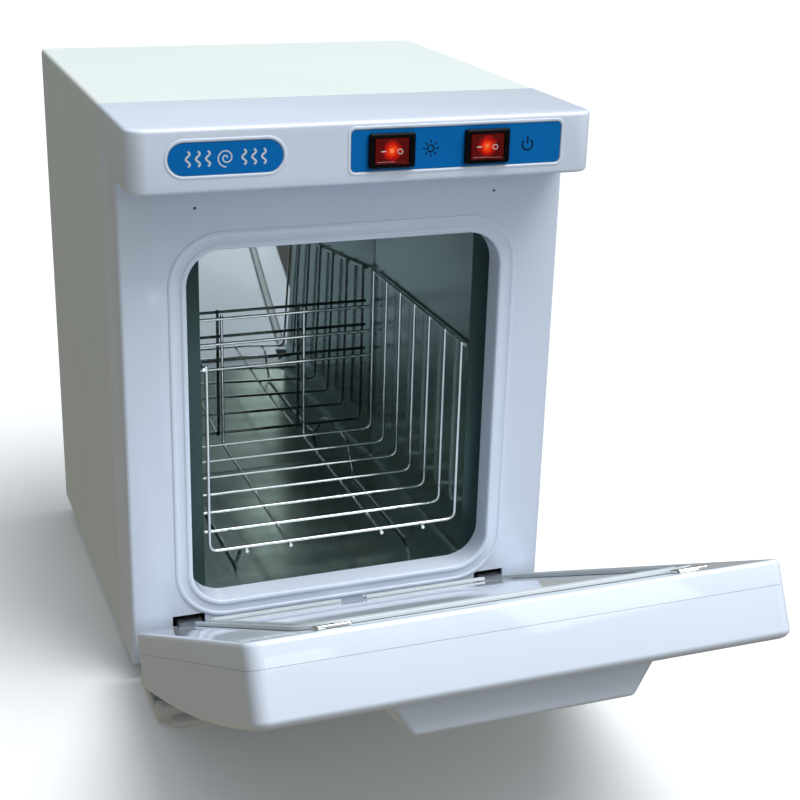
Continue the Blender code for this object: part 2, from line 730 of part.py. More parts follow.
def add_door_shells(bench):
    """Add the door's outer shell with its grip, and its inner liner."""
    shell = bench.part("door_outer_shell", shell_solid(0.0), "white_abs", bench.door)
    bench.cut(shell, shell_solid(DOOR_WALL))
    bench.join(shell, handle_solid())
    bench.cut(shell, *hinge_notches(DOOR_FACE_Y - 0.024, DOOR_FACE_Y - DOOR_LINER_DEPTH + 0.002, 0.012))
    seam = DOOR_FACE_Y - DOOR_LINER_DEPTH
    outline = rounded_outline((-DOOR_HALF, DOOR_LOW), (DOOR_HALF, DOOR_HIGH), DOOR_CORNER, 3)
    bm = prism(outline, "Y", seam, DOOR_FACE_Y)

    def face_rim(first, second):
        return abs(first.y - DOOR_FACE_Y) < SAME and abs(second.y - DOOR_FACE_Y) < SAME

    round_edges(bm, face_rim, 0.0018, 2)
    liner = bench.part("door_inner_liner", bm, "white_abs", bench.door)
    inner = rounded_outline((DOOR_WALL - DOOR_HALF, DOOR_LOW + DOOR_WALL),
                            (DOOR_HALF - DOOR_WALL, DOOR_HIGH - DOOR_WALL), DOOR_CORNER - DOOR_WALL, 3)
    bench.cut(liner, prism(inner, "Y", seam - 0.002, DOOR_FACE_Y - DOOR_WALL),
              *hinge_notches(seam - 0.002, DOOR_FACE_Y + 0.002, 0.036))


def add_door_insulation(bench):
    """Add the foam slab inside the door, above the hinge pockets."""
    bm = box((-0.130, DOOR_FACE_Y - 0.026, 0.045), (0.130, DOOR_FACE_Y - 0.003, 0.298))
    bench.part("door_insulation", bm, "fibre", bench.door)


def gasket_section():
    """Return the seal's section: a strip with two ribs, as (across, out) points."""
    half = GASKET_WIDTH / 2
    top = GASKET_HEIGHT
    web = 0.0010
    base = 0.00035
    return [(-half, base), (half, base), (half, top), (half - 0.0025, top), (half - 0.0025, web),
            (-half + 0.0025, web), (-half + 0.0025, top), (-half, top)]


def sweep_gasket(path):
    """Return a bmesh of the seal laid along a path of (x, z) points on the door."""
    points = [Vector(point) for point in path]
    section = gasket_section()
    bm = bmesh.new()
    rings = []
    for index, point in enumerate(points):
        before = (point - points[max(0, index - 1)])
        after = (points[min(len(points) - 1, index + 1)] - point)
        before = before.normalized() if before.length else after.normalized()
        after = after.normalized() if after.length else before
        mean = (before + after).normalized()
        normal = Vector((-mean.y, mean.x)) / max(0.5, mean.dot(after))
        rings.append([bm.verts.new((point.x + normal.x * across, DOOR_FACE_Y + out,
                                    point.y + normal.y * across)) for across, out in section])
    count = len(section)
    for first, second in zip(rings, rings[1:]):
        for step in range(count):
            following = (step + 1) % count
            bm.faces.new((first[step], first[following], second[following], second[step]))
    bm.faces.new(rings[0])
    bm.faces.new(rings[-1])
    bmesh.ops.recalc_face_normals(bm, faces=bm.faces)
    return bm


def add_gaskets(bench):
    """Add the silicone seal: one length round three sides, two at the hinge side."""
    bend = 0.014
    start = 0.040
    path = [(-GASKET_HALF, start)]
    path += list(reversed(arc((-GASKET_HALF + bend, GASKET_TOP - bend), bend, 90, 180, 5)))
    path += list(reversed(arc((GASKET_HALF - bend, GASKET_TOP - bend), bend, 0, 90, 5)))
    path.append((GASKET_HALF, start))
    bench.part("gasket_upper", sweep_gasket(path), "silicone", bench.door)
    end = HINGE_X - SLOT_HALF - 0.001
    for side, sign in SIDES:
        path = [(sign * GASKET_BREAK / 2, GASKET_BOTTOM), (sign * end, GASKET_BOTTOM)]
        bench.part("gasket_lower_" + side, sweep_gasket(path), "silicone", bench.door)


def add_catches(bench):
    """Add the two steel strikes on the door and the magnets behind the front."""
    for side, sign in SIDES:
        x = sign * CATCH_X
        plate = box((x - 0.009, DOOR_FACE_Y + 0.0003, CATCH_Z - 0.0045),
                    (x + 0.009, DOOR_FACE_Y + 0.0021, CATCH_Z + 0.0045))
        bench.part("strike_plate_" + side, plate, "chrome", bench.door)
        magnet = box((x - 0.010, WALL + GAP, CATCH_Z - 0.004), (x + 0.010, WALL + 0.006, CATCH_Z + 0.004))
        bench.part("catch_magnet_" + side, magnet, "black_plastic")


def add_hinges(bench):
    """Add the two fixed arms, the door's two brackets and the two pins."""
    for side, sign in SIDES:
        x = sign * HINGE_X
        low, high = x - ARM_WIDTH / 2, x + ARM_WIDTH / 2
        sheet = 0.002
        path = [(WALL + GAP + sheet, 0.006), (WALL + GAP + sheet, ARM_TOP), (-0.012, ARM_TOP),
                (PIN_Y - 0.004, ARM_TOP - 0.004), (PIN_Y - EYE_RADIUS, PIN_Z)]
        arm = bench.part("hinge_arm_" + side, bent_strip(path, sheet, 0.0035, "X", low, high, 3),
                         "zinc_steel")
        bench.join(arm, rod((low, PIN_Y, PIN_Z), (high, PIN_Y, PIN_Z), EYE_RADIUS, 16))
        bench.cut(arm, rod((low - 0.001, PIN_Y, PIN_Z), (high + 0.001, PIN_Y, PIN_Z),
                           PIN_RADIUS + GAP, 16))
        pin = rod((x - 0.0145, PIN_Y, PIN_Z), (x + 0.0145, PIN_Y, PIN_Z), PIN_RADIUS, 16)
        bench.part("hinge_pin_" + side, pin, "chrome", bench.door)
        ear = SLOT_HALF + 0.0008
        plate = 0.0015
        back = -0.0345
        web = box((x - ear - plate, back, BRACKET_LOW), (x + ear + plate, back + plate, BRACKET_HIGH))
        bracket = bench.part("hinge_bracket_" + side, web, "zinc_steel", bench.door)
        ears = [box((ear_x, back + 0.0005, BRACKET_LOW), (ear_x + plate, PIN_Y + 0.0035, BRACKET_HIGH))
                for ear_x in (x - ear - plate, x + ear)]
        bench.join(bracket, *ears)
        bench.cut(bracket, rod((x - 0.016, PIN_Y, PIN_Z), (x + 0.016, PIN_Y, PIN_Z),
                               PIN_RADIUS + GAP, 16))


def add_door(bench):
    """Add everything that turns with the door."""
    add_door_shells(bench)
    add_door_insulation(bench)
    add_gaskets(bench)
    add_catches(bench)
    add_hinges(bench)


# Switches and labels ----------------------------------------------------

def switch_block(place, half_size, front, back):
    """Return a block round the middle of the switch at place."""
    half_width, half_height = half_size
    return box((place - half_width, front, SWITCH_Z - half_height),
               (place + half_width, back, SWITCH_Z + half_height))


def add_switch(bench, name, place):
    """Add one panel switch: its body with a bezel, and the rocker in it."""
    face = -HOOD_REACH
    bezel = rounded_outline((place - BEZEL_HALF[0], SWITCH_Z - BEZEL_HALF[1]),
                            (place + BEZEL_HALF[0], SWITCH_Z + BEZEL_HALF[1]), 0.0012, 2)
    body = bench.part(name + "_switch", prism(bezel, "Y", face - 0.0024, face - 0.0004), "black_plastic")
    bench.join(body, switch_block(place, SWITCH_BODY, face - 0.0010, face + 0.0180))
    bench.cut(body, switch_block(place, SWITCH_WELL, face - 0.004, face + 0.0095))
    front = face - 0.0030 - ROCKER_PIVOT_Y
    rise = ROCKER_HALF[0] * math.tan(ROCKER_TILT)
    half = ROCKER_HALF[0]
    outline = [(-half, front - rise), (0, front), (half, front - rise), (half, 0.001),
               (half * 0.6, 0.0045), (-half * 0.6, 0.0045), (-half, 0.001)]
    rocker = prism([(x + place, y + ROCKER_PIVOT_Y) for x, y in outline], "Z",
                   SWITCH_Z - ROCKER_HALF[1], SWITCH_Z + ROCKER_HALF[1])
    made = bench.part(name + "_rocker", rocker, "red_lens", origin=(place, ROCKER_PIVOT_Y, SWITCH_Z))
    made.rotation_euler = (0, 0, -ROCKER_TILT)


def add_hood_face(bench):
    """Add the switches, the label that they stand in and the round-ended badge."""
    for name, place in SWITCH_X.items():
        add_switch(bench, name, place)
    face = -HOOD_REACH
    inset = 0.0004
    outline = rounded_outline((LABEL_X[0] + inset, LABEL_Z[0] + inset),
                              (LABEL_X[1] - inset, LABEL_Z[1] - inset), 0.0026, 3)
    label = bench.part("control_label", prism(outline, "Y", face + 0.0001, face + RECESS - 0.0003),
                       "blue_film")
    bench.cut(label, *[switch_block(place, SWITCH_HOLE, face - 0.001, face + 0.002)
                       for place in SWITCH_X.values()])
    radius = (BADGE_Z[1] - BADGE_Z[0]) / 2 - inset - TINY
    outline = rounded_outline((BADGE_X[0] + inset, BADGE_Z[0] + inset),
                              (BADGE_X[1] - inset, BADGE_Z[1] - inset), radius, 6)
    bench.part("badge_label", prism(outline, "Y", face + 0.0001, face + RECESS - 0.0003), "blue_film")


# Drip tray --------------------------------------------------------------

def add_drip_tray(bench):
    """Add the sliding drip tray below the door and the rails that hold it."""
    rim = -0.0048
    front_rim = 0.0025
    back = -0.003
    bend = 0.010
    sweep = arc((TRAY_FRONT + bend, TRAY_FLOOR + bend), bend, 270, 180, 4)
    side = [(back, rim), (back, TRAY_FLOOR)] + sweep + [(TRAY_FRONT, front_rim),
                                                       (TRAY_FRONT + 0.009, front_rim),
                                                       (TRAY_FRONT + 0.012, rim)]
    bm = prism(side, "X", -TRAY_HALF, TRAY_HALF)
    tray = bench.part("drip_tray", bm, "tray_abs")
    wall = 0.0016
    pan = rounded_outline((-TRAY_HALF + 0.002, TRAY_FRONT + 0.0035), (TRAY_HALF - 0.002, back - 0.0018),
                          0.010, 3)
    bench.cut(tray, prism(pan, "Z", TRAY_FLOOR + wall, 0.010))
    bench.join(tray,
               box((-0.126, TRAY_LIP, TRAY_FLOOR), (0.126, TRAY_FRONT + 0.004, TRAY_FLOOR + 0.004)),
               box((-0.095, back - 0.0015, -0.0082), (0.095, 0.100, -0.0066)))
    for side, sign in SIDES:
        path = [(sign * 0.0925, -0.0096), (sign * 0.0968, -0.0096), (sign * 0.0968, 0.0012),
                (sign * 0.0860, 0.0012)]
        rail = bent_strip(path, 0.0009, 0.0012, "Y", 0.014, 0.110, 2)
        bench.part("tray_rail_" + side, rail, "zinc_steel")


def build():
    """Build the whole cabinet."""
    clear_scene()
    bench = Bench()
    add_front_frame(bench)
    add_outer_cover(bench)
    add_rear_panel(bench)
    add_cord_gland(bench)
    add_base(bench)
    add_chamber_liner(bench)
    add_insulation(bench)
    add_heater(bench)
    add_lamp(bench)
    add_electrics(bench)
    add_basket(bench)
    add_door(bench)
    add_hood_face(bench)
    add_drip_tray(bench)


build()
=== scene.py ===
"""Looks of a hot towel cabinet: studio, finishes and detailed pieces.

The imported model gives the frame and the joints. Most sizes below are in
millimetres in the cabinet's own coordinates: x to the right, y from the flat
front face to the back, z up from the underside of the sheet metal. Pieces of
the door are modelled shut and then turned about the hinge pins.
"""

import json
import logging
import math
from dataclasses import dataclass, field
from enum import Enum
from typing import Callable, Iterable, Optional, Sequence

import bmesh
import bpy
from bmesh.types import BMesh, BMVert
from mathutils import Euler, Matrix, Vector


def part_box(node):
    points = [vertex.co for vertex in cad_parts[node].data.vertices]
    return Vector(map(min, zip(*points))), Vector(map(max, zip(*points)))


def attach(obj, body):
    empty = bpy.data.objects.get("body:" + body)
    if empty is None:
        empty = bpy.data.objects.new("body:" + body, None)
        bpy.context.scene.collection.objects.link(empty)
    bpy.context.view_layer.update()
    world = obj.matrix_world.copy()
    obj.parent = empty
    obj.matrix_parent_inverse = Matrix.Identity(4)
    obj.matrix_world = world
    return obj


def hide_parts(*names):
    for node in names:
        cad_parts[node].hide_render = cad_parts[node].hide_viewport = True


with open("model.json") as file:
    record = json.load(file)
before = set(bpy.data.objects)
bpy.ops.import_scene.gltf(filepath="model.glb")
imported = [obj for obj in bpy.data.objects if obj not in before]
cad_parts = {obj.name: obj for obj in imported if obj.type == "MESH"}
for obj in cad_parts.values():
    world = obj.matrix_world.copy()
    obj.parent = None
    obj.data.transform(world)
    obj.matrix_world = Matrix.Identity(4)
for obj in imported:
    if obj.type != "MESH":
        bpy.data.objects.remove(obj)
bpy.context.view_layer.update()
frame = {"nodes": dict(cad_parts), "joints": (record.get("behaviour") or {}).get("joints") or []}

LOG = logging.getLogger("towel_cabinet")
MM = 0.001
SAME = 1e-4
SIDES = (("left", -1), ("right", 1))

Point = tuple[float, float]
Pick = Callable[[Vector, Vector], bool]


# Colours and finishes ----------------------------------------------------

def linear(hex_code: str) -> tuple[float, float, float, float]:
    """Turn an sRGB hex colour into linear values.

    Args:
        hex_code: Six hex digits, with or without a leading hash.

    Returns:
        Linear red, green and blue, and an alpha of one.
    """
    digits = hex_code.lstrip("#")
    values = []
    for start in (0, 2, 4):
        level = int(digits[start:start + 2], 16) / 255
        values.append(level / 12.92 if level <= 0.04045 else ((level + 0.055) / 1.055) ** 2.4)
    return (values[0], values[1], values[2], 1.0)


class Grain(Enum):
    """How a surface was made, which decides its pattern's stretch along x, y and z."""

    MOULDED = (1.0, 1.0, 1.0)
    SPRAYED = (1.0, 1.0, 1.0)
    ROLLED = (1.0, 0.06, 1.0)
    DRAWN = (1.0, 0.15, 1.0)


@dataclass(frozen=True)
class Finish:
    """One finish: what it is, its colours and the size of its pattern.

    The pattern's size is in millimetres. Shade is the second colour, which the
    broad tone drifts to, and relief is the bump's depth in millimetres.
    """

    name: str
    colour: str
    shade: str
    roughness: tuple[float, float]
    grain: Grain = Grain.MOULDED
    grain_mm: float = 1.0
    tone_mm: float = 60.0
    relief: float = 0.01
    metallic: float = 0.0
    ior: float = 1.5
    coat: float = 0.0
    transmission: float = 0.0
    specular: float = 0.5


# Injection-moulded ABS: glossy, with the faint ripple of the mould's polish.
ABS = Finish("moulded_abs", "#E3ECF8", "#DCE6F4", (0.08, 0.14), Grain.MOULDED, 3.5, 90.0, 0.0012,
             ior=1.54)
# The door's mouldings are the same ABS.
DOOR_ABS = Finish("moulded_abs_door", "#E3ECF8", "#DCE6F4", (0.04, 0.08), Grain.MOULDED, 4.0, 80.0,
                  0.0010, ior=1.54)
# Sprayed and baked polyester powder: a soft sheen with orange peel of about 1 mm.
POWDER = Finish("powder_coated_steel", "#E5EDE9", "#DEE7E2", (0.36, 0.46), Grain.SPRAYED, 1.1, 70.0,
                0.006, ior=1.5)
# Bare rolled sheet: a soft mirror that blurs what is far from it, streaked along the rolling.
SHEET = Finish("rolled_aluminium", "#A6B8B3", "#98AAA4", (0.20, 0.26), Grain.ROLLED, 6.0, 60.0,
               0.0, metallic=1.0)
# Bright-rolled sheet of the chamber's back: close to a mirror.
BRIGHT_SHEET = Finish("bright_rolled_aluminium", "#A0A7A6", "#929897", (0.015, 0.035), Grain.ROLLED, 9.0,
                      60.0, 0.0001, metallic=1.0)
# The same sheet on the flange behind the opening, rougher than the back: its dark colour is painted shade,
# standing in for the dark surroundings that it reflects.
SHADE_PAINTED_SHEET = Finish("shade_painted_aluminium", "#3F504D", "#384845", (0.30, 0.40), Grain.ROLLED, 4.0, 40.0,
                    0.0005, metallic=1.0)
# Bright nickel-chrome plate over drawn wire.
CHROME = Finish("chrome_plate", "#E6E8E6", "#D2D6D5", (0.03, 0.07), Grain.DRAWN, 1.4, 18.0, 0.0008,
                metallic=1.0)
# Zinc plate on pressed steel: dull, with a mottled tone.
ZINC = Finish("zinc_plated_steel", "#9FA3A6", "#85898D", (0.28, 0.42), Grain.ROLLED, 1.2, 9.0, 0.004,
              metallic=1.0)
# Glass-filled nylon of the switch housings: black, fine grained.
NYLON = Finish("black_nylon", "#040405", "#080809", (0.22, 0.34), Grain.MOULDED, 0.6, 12.0, 0.004,
               ior=1.53, specular=0.12)
# Printed polyester film: satin, one strong blue.
FILM = Finish("printed_film_blue", "#0072BC", "#006AB4", (0.34, 0.42), Grain.MOULDED, 0.9, 30.0,
              0.0012, ior=1.55, specular=0.12)
# Printing inks on the film and on the rockers.
DARK_INK = Finish("screen_ink_dark", "#071120", "#0B1728", (0.36, 0.46), Grain.MOULDED, 0.5, 8.0,
                  0.001, ior=1.5, specular=0.15)
PALE_INK = Finish("screen_ink_silver", "#DADFE3", "#C9CFD4", (0.34, 0.44), Grain.MOULDED, 0.5, 8.0,
                  0.001, ior=1.5)
# Cast silicone seal: milky, soft and a little see-through.
SILICONE = Finish("cast_silicone", "#D9DFE1", "#CBD3D6", (0.16, 0.24), Grain.MOULDED, 3.0, 14.0,
                  0.002, ior=1.41, transmission=0.25)
# Moulded rubber of the feet and the gland.
RUBBER = Finish("moulded_rubber", "#17181A", "#202224", (0.62, 0.80), Grain.MOULDED, 0.7, 10.0, 0.01,
                ior=1.52)
# Needled mineral fibre behind the panels.
FIBRE = Finish("mineral_fibre", "#CFC6A8", "#B8AE8E", (0.90, 1.0), Grain.SPRAYED, 2.0, 20.0, 0.3,
               ior=1.45)
# Glazed ceramic and nylon of the electrical parts.
CERAMIC = Finish("glazed_ceramic", "#E4DFD2", "#D6D0C0", (0.30, 0.45), Grain.MOULDED, 0.8, 12.0,
                 0.006, ior=1.55)
# Fused quartz of the lamp's tube.
QUARTZ = Finish("fused_quartz", "#E6EEF8", "#DDE7F4", (0.03, 0.08), Grain.DRAWN, 4.0, 30.0, 0.001,
                ior=1.46, transmission=0.9)
# Grey-white ABS of the drip tray.
TRAY_ABS = Finish("moulded_abs_tray", "#D2D2CE", "#CACAC6", (0.26, 0.32), Grain.MOULDED, 2.2, 60.0,
                  0.001, ior=1.54)
# The red lens of a lit rocker switch; its glow is added by Controls.lens.
LENS = Finish("red_polycarbonate", "#560303", "#480202", (0.10, 0.16), Grain.MOULDED, 1.5, 9.0, 0.002,
              ior=1.58, coat=0.05, specular=0.2)
# Emulsion on a plain studio floor.
FLOOR = Finish("studio_floor", "#F1F2F2", "#EEEFEF", (0.75, 0.85), Grain.SPRAYED, 6.0, 900.0, 0.01,
               ior=1.4)


class Paintshop:
    """Makes each finish once and keeps it."""

    def __init__(self) -> None:
        self.made: dict[str, bpy.types.Material] = {}

    def get(self, finish: Finish) -> bpy.types.Material:
        """Return the material of a finish, made the first time it is asked for."""
        if finish.name not in self.made:
            self.made[finish.name] = self.mix(finish)
        return self.made[finish.name]

    def mix(self, finish: Finish) -> bpy.types.Material:
        """Build a finish's nodes.

        Args:
            finish: The finish to build.

        Returns:
            The material, with its pattern in millimetres on Object coordinates.
        """
        material = bpy.data.materials.new(finish.name)
        material.use_nodes = True
        tree = material.node_tree
        shader = tree.nodes["Principled BSDF"]
        shader.inputs["Metallic"].default_value = finish.metallic
        shader.inputs["IOR"].default_value = finish.ior
        shader.inputs["Coat Weight"].default_value = finish.coat
        shader.inputs["Transmission Weight"].default_value = finish.transmission
        shader.inputs["Specular IOR Level"].default_value = finish.specular
        place = node(tree, "ShaderNodeTexCoord")
        stretch = [part / (finish.grain_mm * MM) for part in finish.grain.value]
        fine_place = node(tree, "ShaderNodeMapping", {"Vector": place.outputs["Object"], "Scale": stretch})
        fine = node(tree, "ShaderNodeTexNoise", {"Vector": fine_place.outputs["Vector"], "Scale": 1.0,
                                                 "Detail": 4.0, "Roughness": 0.55})
        broad = node(tree, "ShaderNodeTexNoise", {"Vector": place.outputs["Object"],
                                                  "Scale": 1.0 / (finish.tone_mm * MM), "Detail": 3.0})
        tone = node(tree, "ShaderNodeMix", {"Factor": broad.outputs["Fac"], "A": linear(finish.colour),
                                            "B": linear(finish.shade)}, data_type="RGBA")
        low, high = finish.roughness
        gloss = node(tree, "ShaderNodeMapRange", {"Value": fine.outputs["Fac"], "From Min": 0.3,
                                                  "From Max": 0.7, "To Min": low, "To Max": high})
        bump = node(tree, "ShaderNodeBump", {"Height": fine.outputs["Fac"], "Strength": 1.0,
                                             "Distance": finish.relief * MM})
        tree.links.new(tone.outputs["Result"], shader.inputs["Base Color"])
        tree.links.new(gloss.outputs["Result"], shader.inputs["Roughness"])
        tree.links.new(bump.outputs["Normal"], shader.inputs["Normal"])
        return material


def node(tree: bpy.types.NodeTree, kind: str, sockets: Optional[dict] = None, **settings) -> bpy.types.Node:
    """Add one node with its settings, values and links.

    Args:
        tree: The material's node tree.
        kind: The node's type name.
        sockets: Values or source sockets by input name.
        **settings: The node's own properties.

    Returns:
        The new node.
    """
    made = tree.nodes.new(kind)
    for name, value in settings.items():
        setattr(made, name, value)
    for name, value in (sockets or {}).items():
        target = next(item for item in made.inputs if item.name == name and item.enabled)
        if isinstance(value, bpy.types.NodeSocket):
            tree.links.new(value, target)
        else:
            target.default_value = value
    return made


# Shapes --------------------------------------------------------------------

def slab(outline: Sequence[Point], axis: str, start: float, end: float) -> BMesh:
    """Push a flat outline along an axis.

    Args:
        outline: Corner points in the two other axes, in alphabetical order.
        axis: "X", "Y" or "Z".
        start: Where the outline lies.
        end: How far it is pushed.

    Returns:
        A closed bmesh, in the outline's units.
    """
    spots = {"X": lambda p: (start, p[0], p[1]), "Y": lambda p: (p[0], start, p[1]),
             "Z": lambda p: (p[0], p[1], start)}
    push = {"X": (end - start, 0, 0), "Y": (0, end - start, 0), "Z": (0, 0, end - start)}
    bm = bmesh.new()
    face = bm.faces.new([bm.verts.new(spots[axis](point)) for point in outline])
    grown = bmesh.ops.extrude_face_region(bm, geom=[face])
    moved = [item for item in grown["geom"] if isinstance(item, BMVert)]
    bmesh.ops.translate(bm, verts=moved, vec=push[axis])
    bmesh.ops.recalc_face_normals(bm, faces=bm.faces)
    return bm


def block(low: Sequence[float], high: Sequence[float]) -> BMesh:
    """Return a plain block between two corners."""
    return slab([(low[0], low[1]), (high[0], low[1]), (high[0], high[1]), (low[0], high[1])],
                "Z", low[2], high[2])


def rectangle(half_x: float, low: float, high: float, middle: float = 0.0) -> list[Point]:
    """Return a rectangle's corners about a middle x."""
    return [(middle - half_x, low), (middle + half_x, low), (middle + half_x, high),
            (middle - half_x, high)]


def soften(bm: BMesh, pick: Pick, radius: float, segments: int = 4) -> BMesh:
    """Round the edges that pick(first, second) chooses.

    Args:
        bm: The shape to change.
        pick: Says whether an edge between two points is rounded.
        radius: The rounding's radius.
        segments: How many faces the rounding has.

    Returns:
        The same shape.
    """
    edges = [edge for edge in bm.edges if pick(edge.verts[0].co, edge.verts[1].co)]
    bmesh.ops.bevel(bm, geom=edges, offset=radius, offset_type="OFFSET", segments=segments,
                    profile=0.5, affect="EDGES", clamp_overlap=True, material=-1)
    return bm


def along(axis: int) -> Pick:
    """Return a pick for edges that run along one axis."""
    others = [index for index in range(3) if index != axis]
    return lambda a, b: all(abs(a[index] - b[index]) < SAME for index in others)


def pillow(outline: Sequence[Point], axis: str, start: float, end: float, corner: float,
           edge: float, segments: int = 8) -> BMesh:
    """Return a slab with round corners and a softened face at its end.

    Args:
        outline: Corner points of the slab.
        axis: The axis that it is pushed along.
        start: Its back.
        end: Its face.
        corner: Radius of its corners.
        edge: Radius of the edge round its face.
        segments: Segments of each corner.

    Returns:
        A closed bmesh.
    """
    index = "XYZ".index(axis)
    bm = soften(slab(outline, axis, start, end), along(index), corner, segments)
    if edge > 0:
        soften(bm, lambda a, b: abs(a[index] - end) < SAME and abs(b[index] - end) < SAME, edge, 4)
    return bm


def loop(half: Point, middle: Point, corner: float, y: float, steps: int = 12) -> list[Vector]:
    """Return a rounded rectangle of points facing the front.

    Args:
        half: Half width and half height.
        middle: Its middle, as x and z.
        corner: Radius of its corners.
        y: Its depth.
        steps: Steps in each corner's arc.
    """
    points = []
    corner = max(0.05, min(corner, half[0] - 0.01, half[1] - 0.01))
    for quarter, (side, rise) in enumerate(((1, -1), (1, 1), (-1, 1), (-1, -1))):
        for step in range(steps + 1):
            angle = math.radians(-90 + 90 * quarter + 90 * step / steps)
            points.append(Vector((middle[0] + side * (half[0] - corner) + corner * math.cos(angle), y,
                                  middle[1] + rise * (half[1] - corner) + corner * math.sin(angle))))
    return points


def bridge(loops: Sequence[Sequence[Vector]], closed_round: bool) -> BMesh:
    """Join a row of equal closed loops with bands of faces.

    Args:
        loops: The loops, each with the same number of points.
        closed_round: Whether the last loop is joined to the first; if not, the
            end loops are filled.

    Returns:
        A closed bmesh.
    """
    bm = bmesh.new()
    rows = [[bm.verts.new(point) for point in points] for points in loops]
    couples = list(zip(rows, rows[1:]))
    if closed_round:
        couples.append((rows[-1], rows[0]))
    for first, second in couples:
        for index, start in enumerate(first):
            following = (index + 1) % len(first)
            bm.faces.new((start, first[following], second[following], second[index]))
    if not closed_round:
        bm.faces.new(rows[0])
        bm.faces.new(rows[-1])
    bmesh.ops.recalc_face_normals(bm, faces=bm.faces)
    return bm


def hoop(section: Sequence[Point], half: Point, middle: Point, corner: float, steps: int = 12) -> BMesh:
    """Sweep a closed section round a rounded rectangle that faces the front.

    Args:
        section: Points as (distance outside the rectangle, y).
        half: Half width and half height of the rectangle.
        middle: Its middle, as x and z.
        corner: Its corners' radius.
        steps: Steps in each corner's arc.

    Returns:
        A closed ring.
    """
    loops = [loop((half[0] + out, half[1] + out), middle, corner + out, y, steps) for out, y in section]
    return bridge(loops, closed_round=True)


def spun(profile: Sequence[Point], place: Sequence[float], axis: Sequence[float], steps: int = 32) -> BMesh:
    """Turn a profile of (radius, height) about an axis through place."""
    bm = bmesh.new()
    chain = [bm.verts.new((radius, 0, height)) for radius, height in profile]
    edges = [bm.edges.new(pair) for pair in zip(chain, chain[1:])]
    bmesh.ops.spin(bm, geom=chain + edges, cent=(0, 0, 0), axis=(0, 0, 1), angle=2 * math.pi,
                   steps=steps, use_merge=True)
    bmesh.ops.remove_doubles(bm, verts=bm.verts, dist=SAME)
    turn = Vector((0, 0, 1)).rotation_difference(Vector(axis)).to_matrix().to_4x4()
    bmesh.ops.transform(bm, matrix=Matrix.Translation(place) @ turn, verts=bm.verts)
    bmesh.ops.recalc_face_normals(bm, faces=bm.faces)
    return bm


def bent(corners: Sequence[Sequence[float]], radius: float, steps: int = 8) -> list[Vector]:
    """Return a path through corner points with each bend rounded.

    Args:
        corners: The path's corners.
        radius: How far before and after a corner its bend runs.
        steps: Steps in each bend.
    """
    spots = [Vector(corner) for corner in corners]
    path = [spots[0]]
    for before, corner, after in zip(spots, spots[1:], spots[2:]):
        reach = min(radius, (before - corner).length / 2.01, (after - corner).length / 2.01)
        start = (before - corner).normalized() * reach
        stop = (after - corner).normalized() * reach
        for step in range(steps + 1):
            share = step / steps
            path.append(corner + start * (1 - share) ** 2 + stop * share ** 2)
    path.append(spots[-1])
    return path


def folded(corners: Sequence[Point], axis: str, start: float, end: float, thickness: float,
           radius: float) -> BMesh:
    """Fold sheet metal along corner points and give it its thickness.

    Args:
        corners: The path in the two other axes.
        axis: The axis that the folds run along.
        start: One edge of the sheet.
        end: Its other edge.
        thickness: The metal's thickness, to the path's inner side; its sign
            chooses the side.
        radius: Radius of each fold.

    Returns:
        A closed bmesh.
    """
    spots = {"X": lambda p: (start, p[0], p[1]), "Y": lambda p: (p[0], start, p[1])}
    push = {"X": (end - start, 0, 0), "Y": (0, end - start, 0)}
    bm = bmesh.new()
    verts = [bm.verts.new(spots[axis](corner)) for corner in corners]
    edges = [bm.edges.new(pair) for pair in zip(verts, verts[1:])]
    grown = bmesh.ops.extrude_edge_only(bm, edges=edges)
    moved = [item for item in grown["geom"] if isinstance(item, BMVert)]
    bmesh.ops.translate(bm, verts=moved, vec=push[axis])
    bmesh.ops.recalc_face_normals(bm, faces=bm.faces)
    folds = [edge for edge in bm.edges if len(edge.link_faces) == 2]
    bmesh.ops.bevel(bm, geom=folds, offset=radius, offset_type="OFFSET", segments=8, profile=0.5,
                    affect="EDGES", clamp_overlap=True, material=-1)
    bmesh.ops.solidify(bm, geom=list(bm.faces), thickness=thickness)
    bmesh.ops.recalc_face_normals(bm, faces=bm.faces)
    return bm


def placed(name: str, data: bpy.types.ID) -> bpy.types.Object:
    """Return a new object that holds data, linked to the scene."""
    item = bpy.data.objects.new(name, data)
    bpy.context.scene.collection.objects.link(item)
    return item


def boolean(body: BMesh, operation: str, tools: Sequence[BMesh]) -> BMesh:
    """Cut tools out of a body, or join them to it.

    Args:
        body: The shape to change; it is used up.
        operation: "DIFFERENCE" or "UNION".
        tools: The other shapes; they are used up.

    Returns:
        A new bmesh with the result.
    """
    made = []
    for bm in (body, *tools):
        bmesh.ops.scale(bm, vec=(MM, MM, MM), verts=bm.verts)
        mesh = bpy.data.meshes.new("tool")
        bm.to_mesh(mesh)
        bm.free()
        made.append(placed("tool", mesh))
    for tool in made[1:]:
        change = made[0].modifiers.new("change", "BOOLEAN")
        change.operation = operation
        change.object = tool
        change.solver = "EXACT"
    shown = made[0].evaluated_get(bpy.context.evaluated_depsgraph_get())
    result = bmesh.new()
    result.from_mesh(shown.to_mesh())
    shown.to_mesh_clear()
    for item in made:
        mesh = item.data
        bpy.data.objects.remove(item)
        bpy.data.meshes.remove(mesh)
    bmesh.ops.scale(result, vec=(1 / MM, 1 / MM, 1 / MM), verts=result.verts)
    bmesh.ops.remove_doubles(result, verts=result.verts, dist=SAME)
    return result


def gathered(parts: Iterable[BMesh]) -> BMesh:
    """Return one bmesh that holds several separate shapes."""
    whole = bmesh.new()
    for part in parts:
        mesh = bpy.data.meshes.new("part")
        part.to_mesh(mesh)
        part.free()
        whole.from_mesh(mesh)
        bpy.data.meshes.remove(mesh)
    return whole


